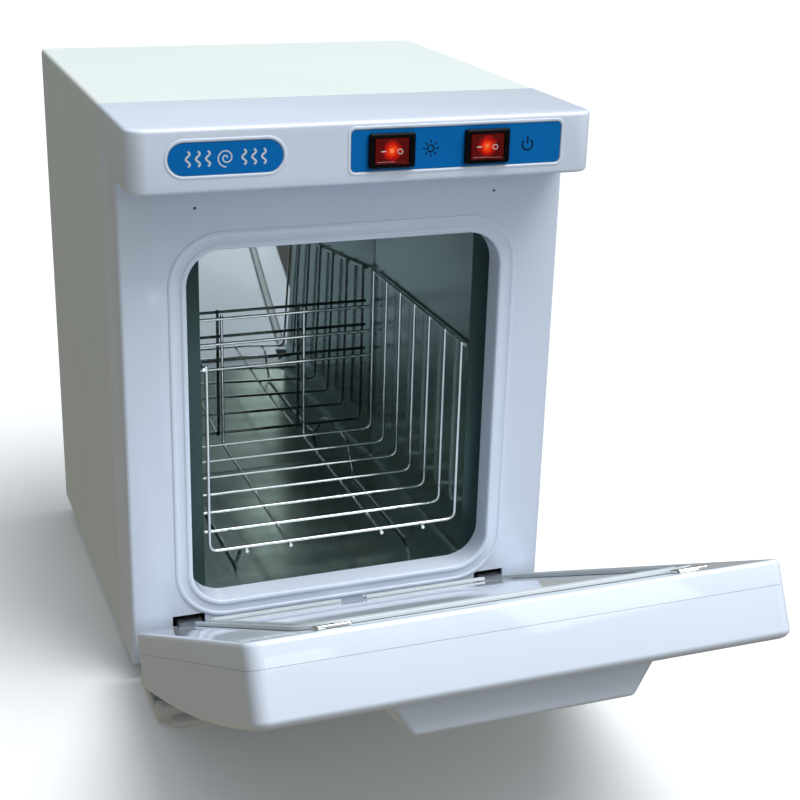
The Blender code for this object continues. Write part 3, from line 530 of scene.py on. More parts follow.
def wires(paths: Sequence[Sequence[Vector]], radius: float, sides: int = 3) -> BMesh:
    """Return round wires along paths, with closed ends.

    Args:
        paths: The wires' middle lines.
        radius: The wires' radius.
        sides: The bevel's resolution: a wire has four sides more than twice this.
    """
    curve = bpy.data.curves.new("wire", "CURVE")
    curve.dimensions = "3D"
    curve.bevel_depth = radius
    curve.bevel_resolution = sides
    curve.use_fill_caps = True
    for path in paths:
        spline = curve.splines.new("POLY")
        spline.points.add(len(path) - 1)
        for point, spot in zip(spline.points, path):
            point.co = (*spot, 1.0)
    item = placed("wire", curve)
    shown = item.evaluated_get(bpy.context.evaluated_depsgraph_get())
    bm = bmesh.new()
    bm.from_mesh(shown.to_mesh())
    shown.to_mesh_clear()
    bpy.data.objects.remove(item)
    bpy.data.curves.remove(curve)
    bmesh.ops.remove_doubles(bm, verts=bm.verts, dist=SAME)
    bmesh.ops.recalc_face_normals(bm, faces=bm.faces)
    return bm


# Workshop --------------------------------------------------------------------

class Mount(Enum):
    """The body that a piece rides on."""

    CABINET = "cabinet"
    DOOR = "door"
    UV_ROCKER = "uv_rocker"
    POWER_ROCKER = "power_rocker"
    BASKET = "basket"
    TRAY = "drip_tray"


@dataclass
class Workshop:
    """Places finished pieces in the frame and dresses them."""

    hood_reach: float = 39.0
    paint: Paintshop = field(default_factory=Paintshop)

    def __post_init__(self) -> None:
        low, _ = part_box("front_frame")
        self.origin = Vector((0.0, low.y + self.hood_reach * MM, low.z))
        self.joints = {joint["child"]: joint for joint in frame["joints"]}

    def cabinet_place(self) -> Matrix:
        """Return the way from cabinet millimetres to the frame."""
        return Matrix.Translation(self.origin) @ Matrix.Scale(MM, 4)

    def door_place(self) -> Matrix:
        """Return the way from the shut door's millimetres to the open door."""
        joint = self.joints["door"]
        pin = Matrix.Translation(Vector(joint["pos_m"]))
        opened = Matrix.Rotation(math.radians(joint["range_deg"][1]), 4, "X")
        return pin @ opened @ pin.inverted() @ self.cabinet_place()

    def place(self, mount: Mount) -> Matrix:
        """Return the way from a body's millimetres to the frame."""
        return self.door_place() if mount is Mount.DOOR else self.cabinet_place()

    def piece(self, name: str, bm: BMesh, finish: Finish, mount: Mount, slot: str,
              replaces: Sequence[str] = (), crease: float = 35.0,
              matrix: Optional[Matrix] = None) -> bpy.types.Object:
        """Turn a bmesh into a finished piece.

        Args:
            name: The piece's name.
            bm: Its shape in millimetres; it is used up.
            finish: What it is finished with.
            mount: The body that it rides on.
            slot: The record's material slot; not used.
            replaces: CAD nodes that it stands for.
            crease: Edges sharper than this, in degrees, stay sharp.
            matrix: A place of its own, if it has one.

        Returns:
            The new object.
        """
        bmesh.ops.transform(bm, matrix=matrix or self.place(mount), verts=bm.verts)
        mesh = bpy.data.meshes.new(name)
        bm.to_mesh(mesh)
        bm.free()
        mesh.shade_smooth()
        mesh.set_sharp_from_angle(angle=math.radians(crease))
        mesh.materials.append(self.paint.get(finish))
        item = placed(name, mesh)
        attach(item, mount.value)
        if replaces:
            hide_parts(*replaces)
        LOG.info("%s: %d faces", name, len(mesh.polygons))
        return item

    def dress(self, finish: Finish, *nodes: str) -> None:
        """Give CAD nodes a finish."""
        for name in nodes:
            slots = frame["nodes"][name].material_slots
            for entry in slots:
                entry.material = self.paint.get(finish)


# Casing ------------------------------------------------------------------------

@dataclass
class Casing:
    """The moulded front with its hood, the folded cover and the rear panel."""

    shop: Workshop
    half_width: float = 137.5
    height: float = 342.0
    depth: float = 266.0
    wall: float = 2.6
    skirt: float = 44.6
    lip: float = 12.0
    hood_reach: float = 39.0
    hood_under: float = 306.6
    hood_corner: float = 11.0
    edge: float = 2.2
    opening_half: float = 99.0
    opening_low: float = 36.5
    opening_high: float = 264.0
    opening_corner: float = 22.0
    label_x: Point = (-13.2, 115.6)
    label_z: Point = (313.5, 337.6)
    badge_x: Point = (-116.1, -51.5)
    badge_z: Point = (316.3, 334.7)
    recess: float = 0.8
    hinge_x: float = 102.0
    slot_half: float = 10.3
    slot_z: Point = (22.0, 30.0)
    catch: Point = (92.6, 289.0)
    switch_x: Point = (10.8, 68.6)
    switch_z: float = 325.2
    switch_hole: Point = (12.4, 8.6)
    sheet: float = 1.2

    @property
    def opening_half_sizes(self) -> Point:
        """Half width and half height of the opening."""
        return (self.opening_half, (self.opening_high - self.opening_low) / 2)

    @property
    def opening_middle(self) -> Point:
        """The opening's middle, as x and z."""
        return (0.0, (self.opening_high + self.opening_low) / 2)

    def hood_and_front(self, inset: float) -> BMesh:
        """Return the moulding's block, set in by inset, with round hood corners."""
        half = self.half_width - inset
        front = inset - self.hood_reach
        back = self.skirt + (2.0 if inset else 0.0)
        top = self.height - inset
        under = self.hood_under + inset
        outline = [(inset, inset), (back, inset), (back, top), (front, top), (front, under), (inset, under)]
        bm = slab(outline, "X", -half, half)
        return soften(bm, lambda a, b: abs(a.y - front) < SAME and abs(b.y - front) < SAME
                      and abs(a.x - b.x) < SAME, self.hood_corner - inset, 14)

    def outer_edge(self, first: Vector, second: Vector) -> bool:
        """Say whether an edge of the moulding is one of its rounded outer edges."""
        middle = (first + second) / 2
        at_back = abs(middle.y - self.skirt) < SAME
        under_hood = abs(middle.y) < SAME and abs(middle.z - self.hood_under) < SAME
        along_corner = abs(first.z - second.z) > 10 and middle.y < -1
        along_skirt = abs(middle.z) < SAME and middle.y > 1
        return not (at_back or under_hood or along_corner or along_skirt)

    def cutters(self) -> list[BMesh]:
        """Return the solids that the openings, recesses and holes are cut with."""
        inner = self.half_width - self.wall
        face = -self.hood_reach
        opening = rectangle(self.opening_half, self.opening_low, self.opening_high)
        tools = [self.hood_and_front(self.wall), block((-inner, self.lip, -1), (inner, self.skirt + 1, 4)),
                 pillow(opening, "Y", -3, self.wall + 3, self.opening_corner, 0, 16)]
        label, badge = ([(left, low), (right, low), (right, high), (left, high)]
                        for (left, right), (low, high) in ((self.label_x, self.label_z),
                                                           (self.badge_x, self.badge_z)))
        badge_corner = (self.badge_z[1] - self.badge_z[0]) / 2 - 0.01
        tools.append(pillow(label, "Y", face - 1, face + self.recess, 3.0, 0))
        tools.append(pillow(badge, "Y", face - 1, face + self.recess, badge_corner, 0, 16))
        for _, sign in SIDES:
            middle = sign * self.hinge_x
            tools.append(slab(rectangle(self.slot_half, *self.slot_z, middle), "Y", -1, self.wall + 1))
            tools.append(spun([(0, -1), (0.9, -1), (0.9, 4), (0, 4)],
                              (sign * self.catch[0], 0, self.catch[1]), (0, 1, 0), 20))
        for x in self.switch_x:
            half_x, half_z = self.switch_hole
            tools.append(block((x - half_x, face - 1, self.switch_z - half_z),
                               (x + half_x, face + self.wall + 1, self.switch_z + half_z)))
        return tools

    def front_moulding(self) -> None:
        """Make the glossy front with its hood, as one moulding."""
        bm = soften(self.hood_and_front(0.0), self.outer_edge, self.edge, 5)
        bm = boolean(bm, "DIFFERENCE", self.cutters())
        self.shop.piece("front_moulding", bm, ABS, Mount.CABINET, "white_abs", ["front_frame"], 28.0)

    def opening_trim(self) -> None:
        """Make the raised bead, flat and inner lip that frame the opening."""
        bead = [(9.2 + 1.5 * math.cos(math.radians(turn)), -0.2 - 0.6 * math.sin(math.radians(turn)))
                for turn in range(0, 181, 15)]
        lip = [(1.7 + 1.6 * math.cos(math.radians(turn)), -0.25 - 0.55 * math.sin(math.radians(turn)))
               for turn in range(0, 181, 15)]
        section = bead + [(7.0, -0.1), (4.0, -0.1)] + lip + [(0.0, 0.5), (10.7, 0.5)]
        bm = hoop(section, self.opening_half_sizes, self.opening_middle, self.opening_corner, 16)
        self.shop.piece("opening_trim", bm, ABS, Mount.CABINET, "white_abs", crease=40.0)

    def collar(self) -> None:
        """Make the moulded return that lines the opening up to the chamber."""
        section = [(-0.02, 0.6), (-0.02, 16.2), (-0.3, 16.2), (-0.3, 0.6)]
        bm = hoop(section, self.opening_half_sizes, self.opening_middle, self.opening_corner, 16)
        self.shop.piece("chamber_collar", bm, ABS, Mount.CABINET, "white_abs")

    def recess_rims(self) -> None:
        """Make the thin raised rims round the label's and the badge's recesses."""
        face = -self.hood_reach
        section = [(0.9 + 0.9 * math.cos(math.radians(turn)), face - 0.35 * math.sin(math.radians(turn)))
                   for turn in range(0, 181, 18)]
        section = section + [(0.0, face + 0.3), (1.8, face + 0.3)]
        for name, across, up, corner in (("label_rim", self.label_x, self.label_z, 3.0),
                                         ("badge_rim", self.badge_x, self.badge_z, 9.19)):
            half = ((across[1] - across[0]) / 2, (up[1] - up[0]) / 2)
            middle = ((across[0] + across[1]) / 2, (up[0] + up[1]) / 2)
            bm = hoop(section, half, middle, corner, 16)
            self.shop.piece(name, bm, ABS, Mount.CABINET, "white_abs", crease=50.0)

    def cover(self) -> None:
        """Make the folded sheet-metal cover."""
        lip = self.half_width - 10
        corners = [(-lip, 0), (-self.half_width, 0), (-self.half_width, self.height),
                   (self.half_width, self.height), (self.half_width, 0), (lip, 0)]
        bm = folded(corners, "Y", self.skirt + 0.4, self.depth, self.sheet, 2.5)
        low = min(vertex.co.x for vertex in bm.verts)
        if low < -self.half_width - SAME:
            bm.free()
            bm = folded(corners, "Y", self.skirt + 0.4, self.depth, -self.sheet, 2.5)
        self.shop.piece("folded_cover", bm, POWDER, Mount.CABINET, "powder_coat", ["outer_cover"])

    def rear_screws(self) -> None:
        """Make the pan-head screws of the rear panel with their cross recesses."""
        for number in range(1, 7):
            name = "rear_screw_" + str(number)
            low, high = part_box(name)
            middle = (low + high) / 2
            base = high.y - 2.4 * MM
            spot = Vector((middle.x, base, middle.z)) - self.shop.origin
            spot = spot / MM
            dome = [(0, 2.4), (1.2, 2.35), (2.3, 2.05), (3.1, 1.3), (3.4, 0.5), (3.3, 0.3), (1.5, 0.3),
                    (1.5, -8.0), (0, -8.0)]
            head = spun(dome, spot, (0, 1, 0), 32)
            slots = [block((spot.x - a, spot.y + 1.3, spot.z - b), (spot.x + a, spot.y + 3, spot.z + b))
                     for a, b in ((1.9, 0.35), (0.35, 1.9))]
            bm = boolean(head, "DIFFERENCE", slots)
            self.shop.piece("cross_" + name, bm, ZINC, Mount.CABINET, "zinc_steel", [name])

    def build(self) -> None:
        """Make every piece of the casing."""
        self.front_moulding()
        self.opening_trim()
        self.collar()
        self.recess_rims()
        self.cover()
        self.rear_screws()
        self.shop.dress(POWDER, "rear_panel")
        self.shop.dress(SHEET, "base_plate", "component_shelf")
        self.shop.dress(RUBBER, "cord_gland", "foot_front_left", "foot_front_right", "foot_rear_left",
                        "foot_rear_right")
        self.shop.dress(FIBRE, "insulation")


# Towel chamber ---------------------------------------------------------------------

@dataclass
class Chamber:
    """The bare metal chamber with its lamp, heater and wire basket."""

    shop: Workshop
    wire: float = 1.15
    hoops: int = 7
    pitch: float = 28.1
    first_y: float = 18.5
    half: float = 83.5
    floor: float = 62.5
    top: float = 187.0
    back_heights: tuple[float, float, float] = (121.5, 140.5, 159.5)
    long_x: float = 31.0
    runner_x: float = 60.0
    runner_z: float = 37.5
    wall_half: float = 87.5
    wall_low: float = 36.0
    wall_high: float = 264.5
    wall_back: float = 197.5
    mouth_half: float = 98.9
    mouth_depth: float = 16.2

    def back_sheet(self) -> None:
        """Make the bright sheet that closes the chamber's back."""
        gap = 0.3
        outline = rectangle(self.wall_half - gap, self.wall_low + gap, self.wall_high - gap)
        bm = pillow(outline, "Y", self.wall_back - 0.1, self.wall_back - 0.6, 3.8, 0.3)
        self.shop.piece("chamber_back_sheet", bm, BRIGHT_SHEET, Mount.CABINET, "bare_sheet")

    def flange(self) -> None:
        """Make the flange's two upright strips, beside the chamber's mouth."""
        middle = (self.wall_half + self.mouth_half) / 2
        width = (self.mouth_half - self.wall_half) / 2
        for side, sign in SIDES:
            outline = rectangle(width, self.wall_low + 1.0, self.wall_high - 1.0, sign * middle)
            bm = pillow(outline, "Y", self.mouth_depth, self.mouth_depth - 0.4, 0.5, 0.15)
            # The strips' dark finish is painted shade, not the sheet's own colour.
            self.shop.piece("chamber_flange_" + side, bm, SHADE_PAINTED_SHEET, Mount.CABINET, "bare_sheet")

    def basket_paths(self) -> list[list[Vector]]:
        """Return the middle line of every wire of the basket."""
        lap = 1.5 * self.wire
        last = self.first_y + (self.hoops - 1) * self.pitch
        low = self.floor - lap
        paths = []
        for number in range(self.hoops):
            y = self.first_y + number * self.pitch
            paths.append(bent([(-self.half, y, self.top), (-self.half, y, self.floor),
                               (self.half, y, self.floor), (self.half, y, self.top)], 6.0))
        front = self.first_y - 3.5
        for _, sign in SIDES:
            rail = sign * (self.half + lap)
            paths.append(bent([(rail, self.first_y - 2.3, self.top - 1.6),
                               (rail, last + 2.1, self.top - 1.6)], 1.0))
            x = sign * self.long_x
            back = last + 2 * lap
            paths.append(bent([(x, front, low), (x, back, low), (x, back, self.back_heights[-1] + 2.2)], 6.0))
            x = sign * self.runner_x
            paths.append(bent([(x, front, low), (x, front + 12, low), (x, front + 30, self.runner_z),
                               (x, last - 30, self.runner_z), (x, last - 12, low),
                               (x, last + 2.6, low)], 7.0))
        for height in self.back_heights:
            paths.append(bent([(-self.half - 1.8, last + lap, height),
                               (self.half + 1.8, last + lap, height)], 1.0))
        return paths

    def build(self) -> None:
        """Make the basket and dress the chamber's other pieces."""
        self.back_sheet()
        self.flange()
        bm = wires(self.basket_paths(), self.wire, 4)
        self.shop.piece("wire_basket", bm, CHROME, Mount.BASKET, "chrome", ["basket"], 60.0)
        self.shop.dress(SHEET, "chamber_liner")
        self.shop.dress(ZINC, "heating_element")
        self.shop.dress(CHROME, "lamp_guard")
        self.shop.dress(QUARTZ, "uv_lamp")
        self.shop.dress(NYLON, "lamp_ballast")
        self.shop.dress(CERAMIC, "thermostat", "thermal_fuse", "lamp_holder_left", "lamp_holder_right",
                        "terminal_block")


# Door --------------------------------------------------------------------------------

@dataclass
class Door:
    """The drop-down door with its seal, strikes and hinges, modelled shut."""

    shop: Workshop
    half: float = 137.2
    low: float = 8.0
    high: float = 305.0
    face: float = -4.0
    liner: float = 12.0
    seam: float = 0.4
    shown_seam: float = 0.14
    corner: float = 8.0
    rim: float = 6.0
    wall: float = 2.5
    thick_hinge: float = 34.0
    thick_tip: float = 38.5
    bulge: float = 6.5
    grip_reach: float = 55.8
    hinge_x: float = 102.0
    slot_half: float = 10.3
    arm_half: float = 7.5
    arm_top: float = 27.5
    eye_radius: float = 4.4
    pin: Point = (-20.0, 15.5)
    catch: Point = (92.6, 289.0)
    seal_half: float = 101.0
    seal_top: float = 277.0
    seal_low: float = 19.5
    seal_height: float = 2.6
    seal_break: float = 17.0

    def thickness(self, z: float) -> float:
        """Return the door's thickness at a height when it is shut."""
        share = (z - self.low) / (self.high - self.low)
        straight = self.thick_hinge + (self.thick_tip - self.thick_hinge) * share
        return straight + self.bulge * 4 * share * (1 - share)

    def bulged(self, inset: float) -> BMesh:
        """Return the outer moulding's solid, set in by inset, with its bulged face."""
        seam = self.face - self.liner - self.seam + (2.0 if inset else 0.0)
        flat = 40.0
        outline = rectangle(self.half - inset, self.low + inset, self.high - inset)
        bm = soften(slab(outline, "Y", seam, seam - flat), along(1), self.corner - inset, 10)
        soften(bm, lambda a, b: abs(a.y - seam + flat) < SAME and abs(b.y - seam + flat) < SAME,
               self.rim - inset, 8)
        cuts = 36
        for cut in range(1, cuts):
            z = self.low + (self.high - self.low) * cut / cuts
            bmesh.ops.bisect_plane(bm, geom=bm.verts[:] + bm.edges[:] + bm.faces[:], dist=SAME,
                                   plane_co=(0, 0, z), plane_no=(0, 0, 1))
        for vertex in bm.verts:
            deep = self.face - self.thickness(vertex.co.z) + inset
            vertex.co.y = seam + (seam - vertex.co.y) / flat * (deep - seam)
        return bm

    def grip(self) -> BMesh:
        """Return the trapezoid grip that stands out of the door near its free edge."""
        root = self.face - self.thick_tip + 2
        tip = self.face - self.grip_reach
        top = self.low + 279
        bm = slab(rectangle(70.5, top - 26, top), "Y", root, tip)
        for vertex in bm.verts:
            if abs(vertex.co.y - tip) < SAME:
                vertex.co.x *= 57.8 / 70.5
                vertex.co.z = top - 7 if vertex.co.z > top - 10 else top - 13
        soften(bm, lambda a, b: min(a.y, b.y) < root - 1, 2.2, 5)
        return bm

    def notches(self, front: float, back: float, top: float) -> list[BMesh]:
        """Return the cutters that let the hinge arms into the door's end."""
        return [block((sign * self.hinge_x - self.slot_half, front, self.low - 2),
                      (sign * self.hinge_x + self.slot_half, back, top)) for _, sign in SIDES]

    def mouldings(self) -> None:
        """Make the outer moulding with its grip, and the inner one."""
        shell = boolean(self.bulged(0.0), "DIFFERENCE", [self.bulged(self.wall)])
        shell = boolean(shell, "UNION", [self.grip()])
        seam = self.face - self.liner
        shell = boolean(shell, "DIFFERENCE", self.notches(self.face - 24, seam + 2, 12))
        self.shop.piece("door_shell", shell, DOOR_ABS, Mount.DOOR, "white_abs", ["door_outer_shell"], 32.0)
        outline = rectangle(self.half, self.low, self.high)
        back = seam - self.seam + self.shown_seam
        inner = pillow(outline, "Y", back, self.face, self.corner, 2.4, 10)
        hollow = rectangle(self.half - self.wall, self.low + self.wall, self.high - self.wall)
        tools = [pillow(hollow, "Y", seam - 2, self.face - self.wall, self.corner - self.wall, 0)]
        tools += self.notches(seam - 2, self.face + 2, 36)
        inner = boolean(inner, "DIFFERENCE", tools)
        self.shop.piece("door_lining", inner, DOOR_ABS, Mount.DOOR, "white_abs", ["door_inner_liner"], 32.0)

    def seal_section(self) -> list[Point]:
        """Return the seal's section: a web with two round ribs, as (across, out)."""
        rib = 1.25
        centre = self.seal_height - rib
        section = [(-5.0, 0.35), (5.0, 0.35)]
        for middle, start in ((3.7, -20), (-3.7, 0)):
            for step in range(9):
                angle = math.radians(start + step * 25)
                section.append((middle + rib * math.cos(angle), centre + rib * math.sin(angle)))
        return section

    def seal(self, name: str, path: Sequence[Vector], node_name: str) -> None:
        """Lay the seal along a path of (x, z) points on the door's inner face."""
        rows = []
        for index, point in enumerate(path):
            before = point - path[index - 1] if index else path[1] - point
            after = path[index + 1] - point if index < len(path) - 1 else before
            mean = (before.normalized() + after.normalized()).normalized()
            across = Vector((-mean.y, mean.x))
            rows.append([Vector((point.x + across.x * side, self.face + out, point.y + across.y * side))
                         for side, out in self.seal_section()])
        bm = bridge(rows, closed_round=False)
        self.shop.piece(name, bm, SILICONE, Mount.DOOR, "silicone", [node_name], 50.0)

    def seals(self) -> None:
        """Make the seal: one length round three sides and two by the hinges."""
        bend = 14.0
        path = [Vector((-self.seal_half, 40.0))]
        for side, start in ((-1, 180), (1, 90)):
            for step in range(13):
                angle = math.radians(start - 90 * step / 12)
                path.append(Vector((side * (self.seal_half - bend) + bend * math.cos(angle),
                                    self.seal_top - bend + bend * math.sin(angle))))
        path.append(Vector((self.seal_half, 40.0)))
        self.seal("seal_upper", path, "gasket_upper")
        end = self.hinge_x - self.slot_half - 1.0
        for side, sign in SIDES:
            path = [Vector((sign * self.seal_break / 2, self.seal_low)), Vector((sign * end, self.seal_low))]
            self.seal("seal_lower_" + side, path, "gasket_lower_" + side)

    def strikes(self) -> None:
        """Make the bright strike plates, each with its rivet."""
        for side, sign in SIDES:
            x, z = sign * self.catch[0], self.catch[1]
            plate = pillow(rectangle(9.0, z - 4.5, z + 4.5, x), "Y", self.face + 0.3, self.face + 1.9,
                           1.5, 0.6)
            rivet = spun([(0, 0.0), (1.6, 0.0), (1.5, 0.25), (1.0, 0.42), (0, 0.5)],
                         (x, self.face + 1.6, z), (0, 1, 0), 24)
            bm = gathered([plate, rivet])
            self.shop.piece("strike_" + side, bm, CHROME, Mount.DOOR, "chrome", ["strike_plate_" + side])

    def hinges(self) -> None:
        """Make the curved hinge arms with their rolled eyes."""
        pin_y, pin_z = self.pin
        for side, sign in SIDES:
            x = sign * self.hinge_x
            corners = [(5.0, 6.0), (5.0, self.arm_top), (-12.0, self.arm_top),
                       (pin_y - 4.0, self.arm_top - 4.0), (pin_y - self.eye_radius, pin_z)]
            arm = folded(corners, "X", x - self.arm_half, x + self.arm_half, 2.0, 4.5)
            if max(vertex.co.z for vertex in arm.verts) > self.arm_top + SAME:
                arm.free()
                arm = folded(corners, "X", x - self.arm_half, x + self.arm_half, -2.0, 4.5)
            eye = spun([(2.4, -self.arm_half), (self.eye_radius, -self.arm_half),
                        (self.eye_radius, self.arm_half), (2.4, self.arm_half), (2.4, -self.arm_half)],
                       (x, pin_y, pin_z), (1, 0, 0), 32)
            bm = gathered([arm, eye])
            self.shop.piece("curved_arm_" + side, bm, ZINC, Mount.CABINET, "zinc_steel",
                            ["hinge_arm_" + side])
            self.shop.dress(ZINC, "hinge_bracket_" + side)
            self.shop.dress(CHROME, "hinge_pin_" + side)
            self.shop.dress(NYLON, "catch_magnet_" + side)

    def build(self) -> None:
        """Make every piece of the door."""
        self.mouldings()
        self.seals()
        self.strikes()
        self.hinges()
        self.shop.dress(FIBRE, "door_insulation")


# Switches and labels -------------------------------------------------------------------

@dataclass
class Controls:
    """The two lit rocker switches, the label that they stand in and the badge."""

    shop: Workshop
    face: float = -39.0
    switch_x: dict[str, float] = field(default_factory=lambda: {"uv": 10.8, "power": 68.6})
    switch_z: float = 325.2
    bezel: Point = (13.75, 9.85)
    well: Point = (10.3, 7.5)
    rocker: Point = (9.4, 7.2)
    tilt: float = math.radians(8.0)
    pivot_y: float = -36.5
    ink: float = 0.05

    def lens(self, name: str, spot: Vector) -> Finish:
        """Return the name's finish; its glow is added to the material once."""
        finish = Finish(LENS.name + "_" + name, LENS.colour, LENS.shade, LENS.roughness, LENS.grain,
                        LENS.grain_mm, LENS.tone_mm, LENS.relief, ior=LENS.ior, coat=LENS.coat,
                        specular=LENS.specular)
        material = self.shop.paint.get(finish)
        tree = material.node_tree
        shader = tree.nodes["Principled BSDF"]
        place = node(tree, "ShaderNodeTexCoord")
        width, height = 5.2 * MM, 5.6 * MM
        centred = node(tree, "ShaderNodeMapping",
                       {"Vector": place.outputs["Object"], "Location": -spot}, vector_type="POINT")
        scaled = node(tree, "ShaderNodeMapping", {"Vector": centred.outputs["Vector"],
                                                  "Scale": (1 / width, 0.0, 1 / height)})
        far = node(tree, "ShaderNodeVectorMath", {"Vector": scaled.outputs["Vector"]}, operation="LENGTH")
        ripple = node(tree, "ShaderNodeTexNoise", {"Vector": place.outputs["Object"],
                                                   "Scale": 1.0 / (2.2 * MM), "Detail": 2.0})
        uneven = node(tree, "ShaderNodeMath", operation="MULTIPLY_ADD")
        tree.links.new(ripple.outputs["Fac"], uneven.inputs[0])
        uneven.inputs[1].default_value = 0.7
        tree.links.new(far.outputs["Value"], uneven.inputs[2])
        half = node(tree, "ShaderNodeMath", operation="MULTIPLY")
        tree.links.new(uneven.outputs["Value"], half.inputs[0])
        half.inputs[1].default_value = 0.5
        ramp = node(tree, "ShaderNodeValToRGB", {"Fac": half.outputs["Value"]})
        steps = ((0.40, "#FF9A60"), (0.66, "#FF4A10"), (1.0, "#C61404"), (1.5, "#3C0302"))
        stops = ramp.color_ramp.elements
        stops[0].position, stops[0].color = steps[0][0] / 2, linear(steps[0][1])
        stops[1].position, stops[1].color = steps[-1][0] / 2, linear(steps[-1][1])
        for position, colour in steps[1:-1]:
            stop = stops.new(position / 2)
            stop.color = linear(colour)
        tree.links.new(ramp.outputs["Color"], shader.inputs["Emission Color"])
        shader.inputs["Emission Strength"].default_value = 0.8
        return finish

    def bezel_ring(self, x: float) -> BMesh:
        """Return the switch's housing: a bezel with a well behind it."""
        out = self.bezel[0]
        ratio = self.bezel[1] - self.bezel[0]
        gap = self.well[0] - out
        front = self.face - 2.4
        section = [(0.0, self.face - 0.4), (0.0, front + 0.6), (-0.2, front + 0.2), (-0.6, front),
                   (gap + 0.7, front), (gap + 0.25, front + 0.15), (gap, front + 0.6),
                   (gap, self.face + 9.5), (-1.75, self.face + 9.5), (-1.75, self.face - 0.4)]
        return hoop(section, (out, out + ratio), (x, self.switch_z), 1.6, 6)

    def rocker_solid(self) -> BMesh:
        """Return the rocker about its pivot, level, with its shallow valley."""
        half, half_z = self.rocker
        front = self.face - 3.0 - self.pivot_y
        rise = half * math.tan(self.tilt)
        valley = []
        for step in range(-8, 9):
            x = half * step / 8
            valley.append((x, front - rise * (math.sqrt((x / half) ** 2 + 0.02) - 0.1) / 0.91))
        outline = valley + [(half, 1.0), (half * 0.6, 4.5), (-half * 0.6, 4.5), (-half, 1.0)]
        bm = slab(outline, "Z", -half_z, half_z)
        faces = [item for item in bm.faces if item.normal.y < -0.9]
        bmesh.ops.inset_region(bm, faces=faces, thickness=1.1, depth=0.0, use_even_offset=True)
        inner = [item for item in bm.faces if item.normal.y < -0.9
                 and max(abs(vertex.co.z) for vertex in item.verts) < half_z - 1.0
                 and max(abs(vertex.co.x) for vertex in item.verts) < half - 0.9]
        bmesh.ops.inset_region(bm, faces=inner, thickness=0.25, depth=-0.22, use_even_offset=True)
        return bm

    def rocker_place(self, x: float) -> Matrix:
        """Return the way from the level rocker to its tilted place."""
        pivot = Matrix.Translation((x, self.pivot_y, self.switch_z))
        return self.shop.cabinet_place() @ pivot @ Matrix.Rotation(-self.tilt, 4, "Z")

    def marks(self) -> BMesh:
        """Return the dash and the ring on the rocker's two halves."""
        front = self.face - 3.0 - self.pivot_y
        dash = slab(rectangle(1.5, -0.28, 0.28), "Y", 0.0, -0.12)
        ring = spun([(1.15, 0), (1.6, 0), (1.6, 0.12), (1.15, 0.12), (1.15, 0)], (0, 0, 0), (0, -1, 0), 28)
        middle = self.rocker[0] * 0.5
        for shape, sign in ((dash, -1), (ring, 1)):
            lean = Matrix.Rotation(-sign * self.tilt, 4, "Z")
            depth = front - middle * math.tan(self.tilt) + 0.25
            shift = Matrix.Translation((sign * middle, depth, 0.0))
            bmesh.ops.transform(shape, matrix=shift @ lean, verts=shape.verts)
        return gathered([dash, ring])

    def switches(self) -> None:
        """Make both switches with their rockers and marks."""
        for name, x in self.switch_x.items():
            mount = Mount.UV_ROCKER if name == "uv" else Mount.POWER_ROCKER
            self.shop.piece(name + "_bezel", self.bezel_ring(x), NYLON, Mount.CABINET, "black_plastic",
                            [name + "_switch"], 40.0)
            place = self.rocker_place(x)
            spot = self.shop.cabinet_place() @ Vector((x - 0.6, self.face, self.switch_z + 0.4))
            finish = self.lens(name, spot)
            self.shop.piece(name + "_lens", self.rocker_solid(), finish, mount, "red_lens",
                            [name + "_rocker"], 30.0, place)
            self.shop.piece(name + "_marks", self.marks(), PALE_INK, mount, "red_lens", (), 40.0, place)

    def flat(self, shapes: Iterable[BMesh], x: float, z: float) -> BMesh:
        """Return printed shapes put together at a place on the labels' face."""
        whole = gathered(shapes)
        bmesh.ops.translate(whole, verts=whole.verts, vec=(x, self.face, z))
        return whole

    def bar(self, half_x: float, half_z: float, x: float = 0.0, z: float = 0.0,
            turn: float = 0.0) -> BMesh:
        """Return one printed bar, turned in the label's plane."""
        bm = slab(rectangle(half_x, -half_z, half_z), "Y", 0.1 + SAME, 0.1 - self.ink)
        matrix = Matrix.Rotation(turn, 4, "Y") @ Matrix.Translation((x, 0, z))
        bmesh.ops.transform(bm, matrix=matrix, verts=bm.verts)
        return bm

    def band(self, path: Sequence[Point], width: float) -> BMesh:
        """Return a printed line of one width along a path of (x, z) points."""
        rows = []
        spots = [Vector(point) for point in path]
        for index, point in enumerate(spots):
            before = point - spots[index - 1] if index else spots[1] - point
            after = spots[index + 1] - point if index < len(spots) - 1 else before
            mean = (before.normalized() + after.normalized()).normalized()
            across = Vector((-mean.y, mean.x)) * width / 2
            rows.append([Vector((point.x + across.x, 0.1 + SAME, point.y + across.y)),
                         Vector((point.x + across.x, 0.1 - self.ink, point.y + across.y)),
                         Vector((point.x - across.x, 0.1 - self.ink, point.y - across.y)),
                         Vector((point.x - across.x, 0.1 + SAME, point.y - across.y))])
        return bridge(rows, closed_round=False)

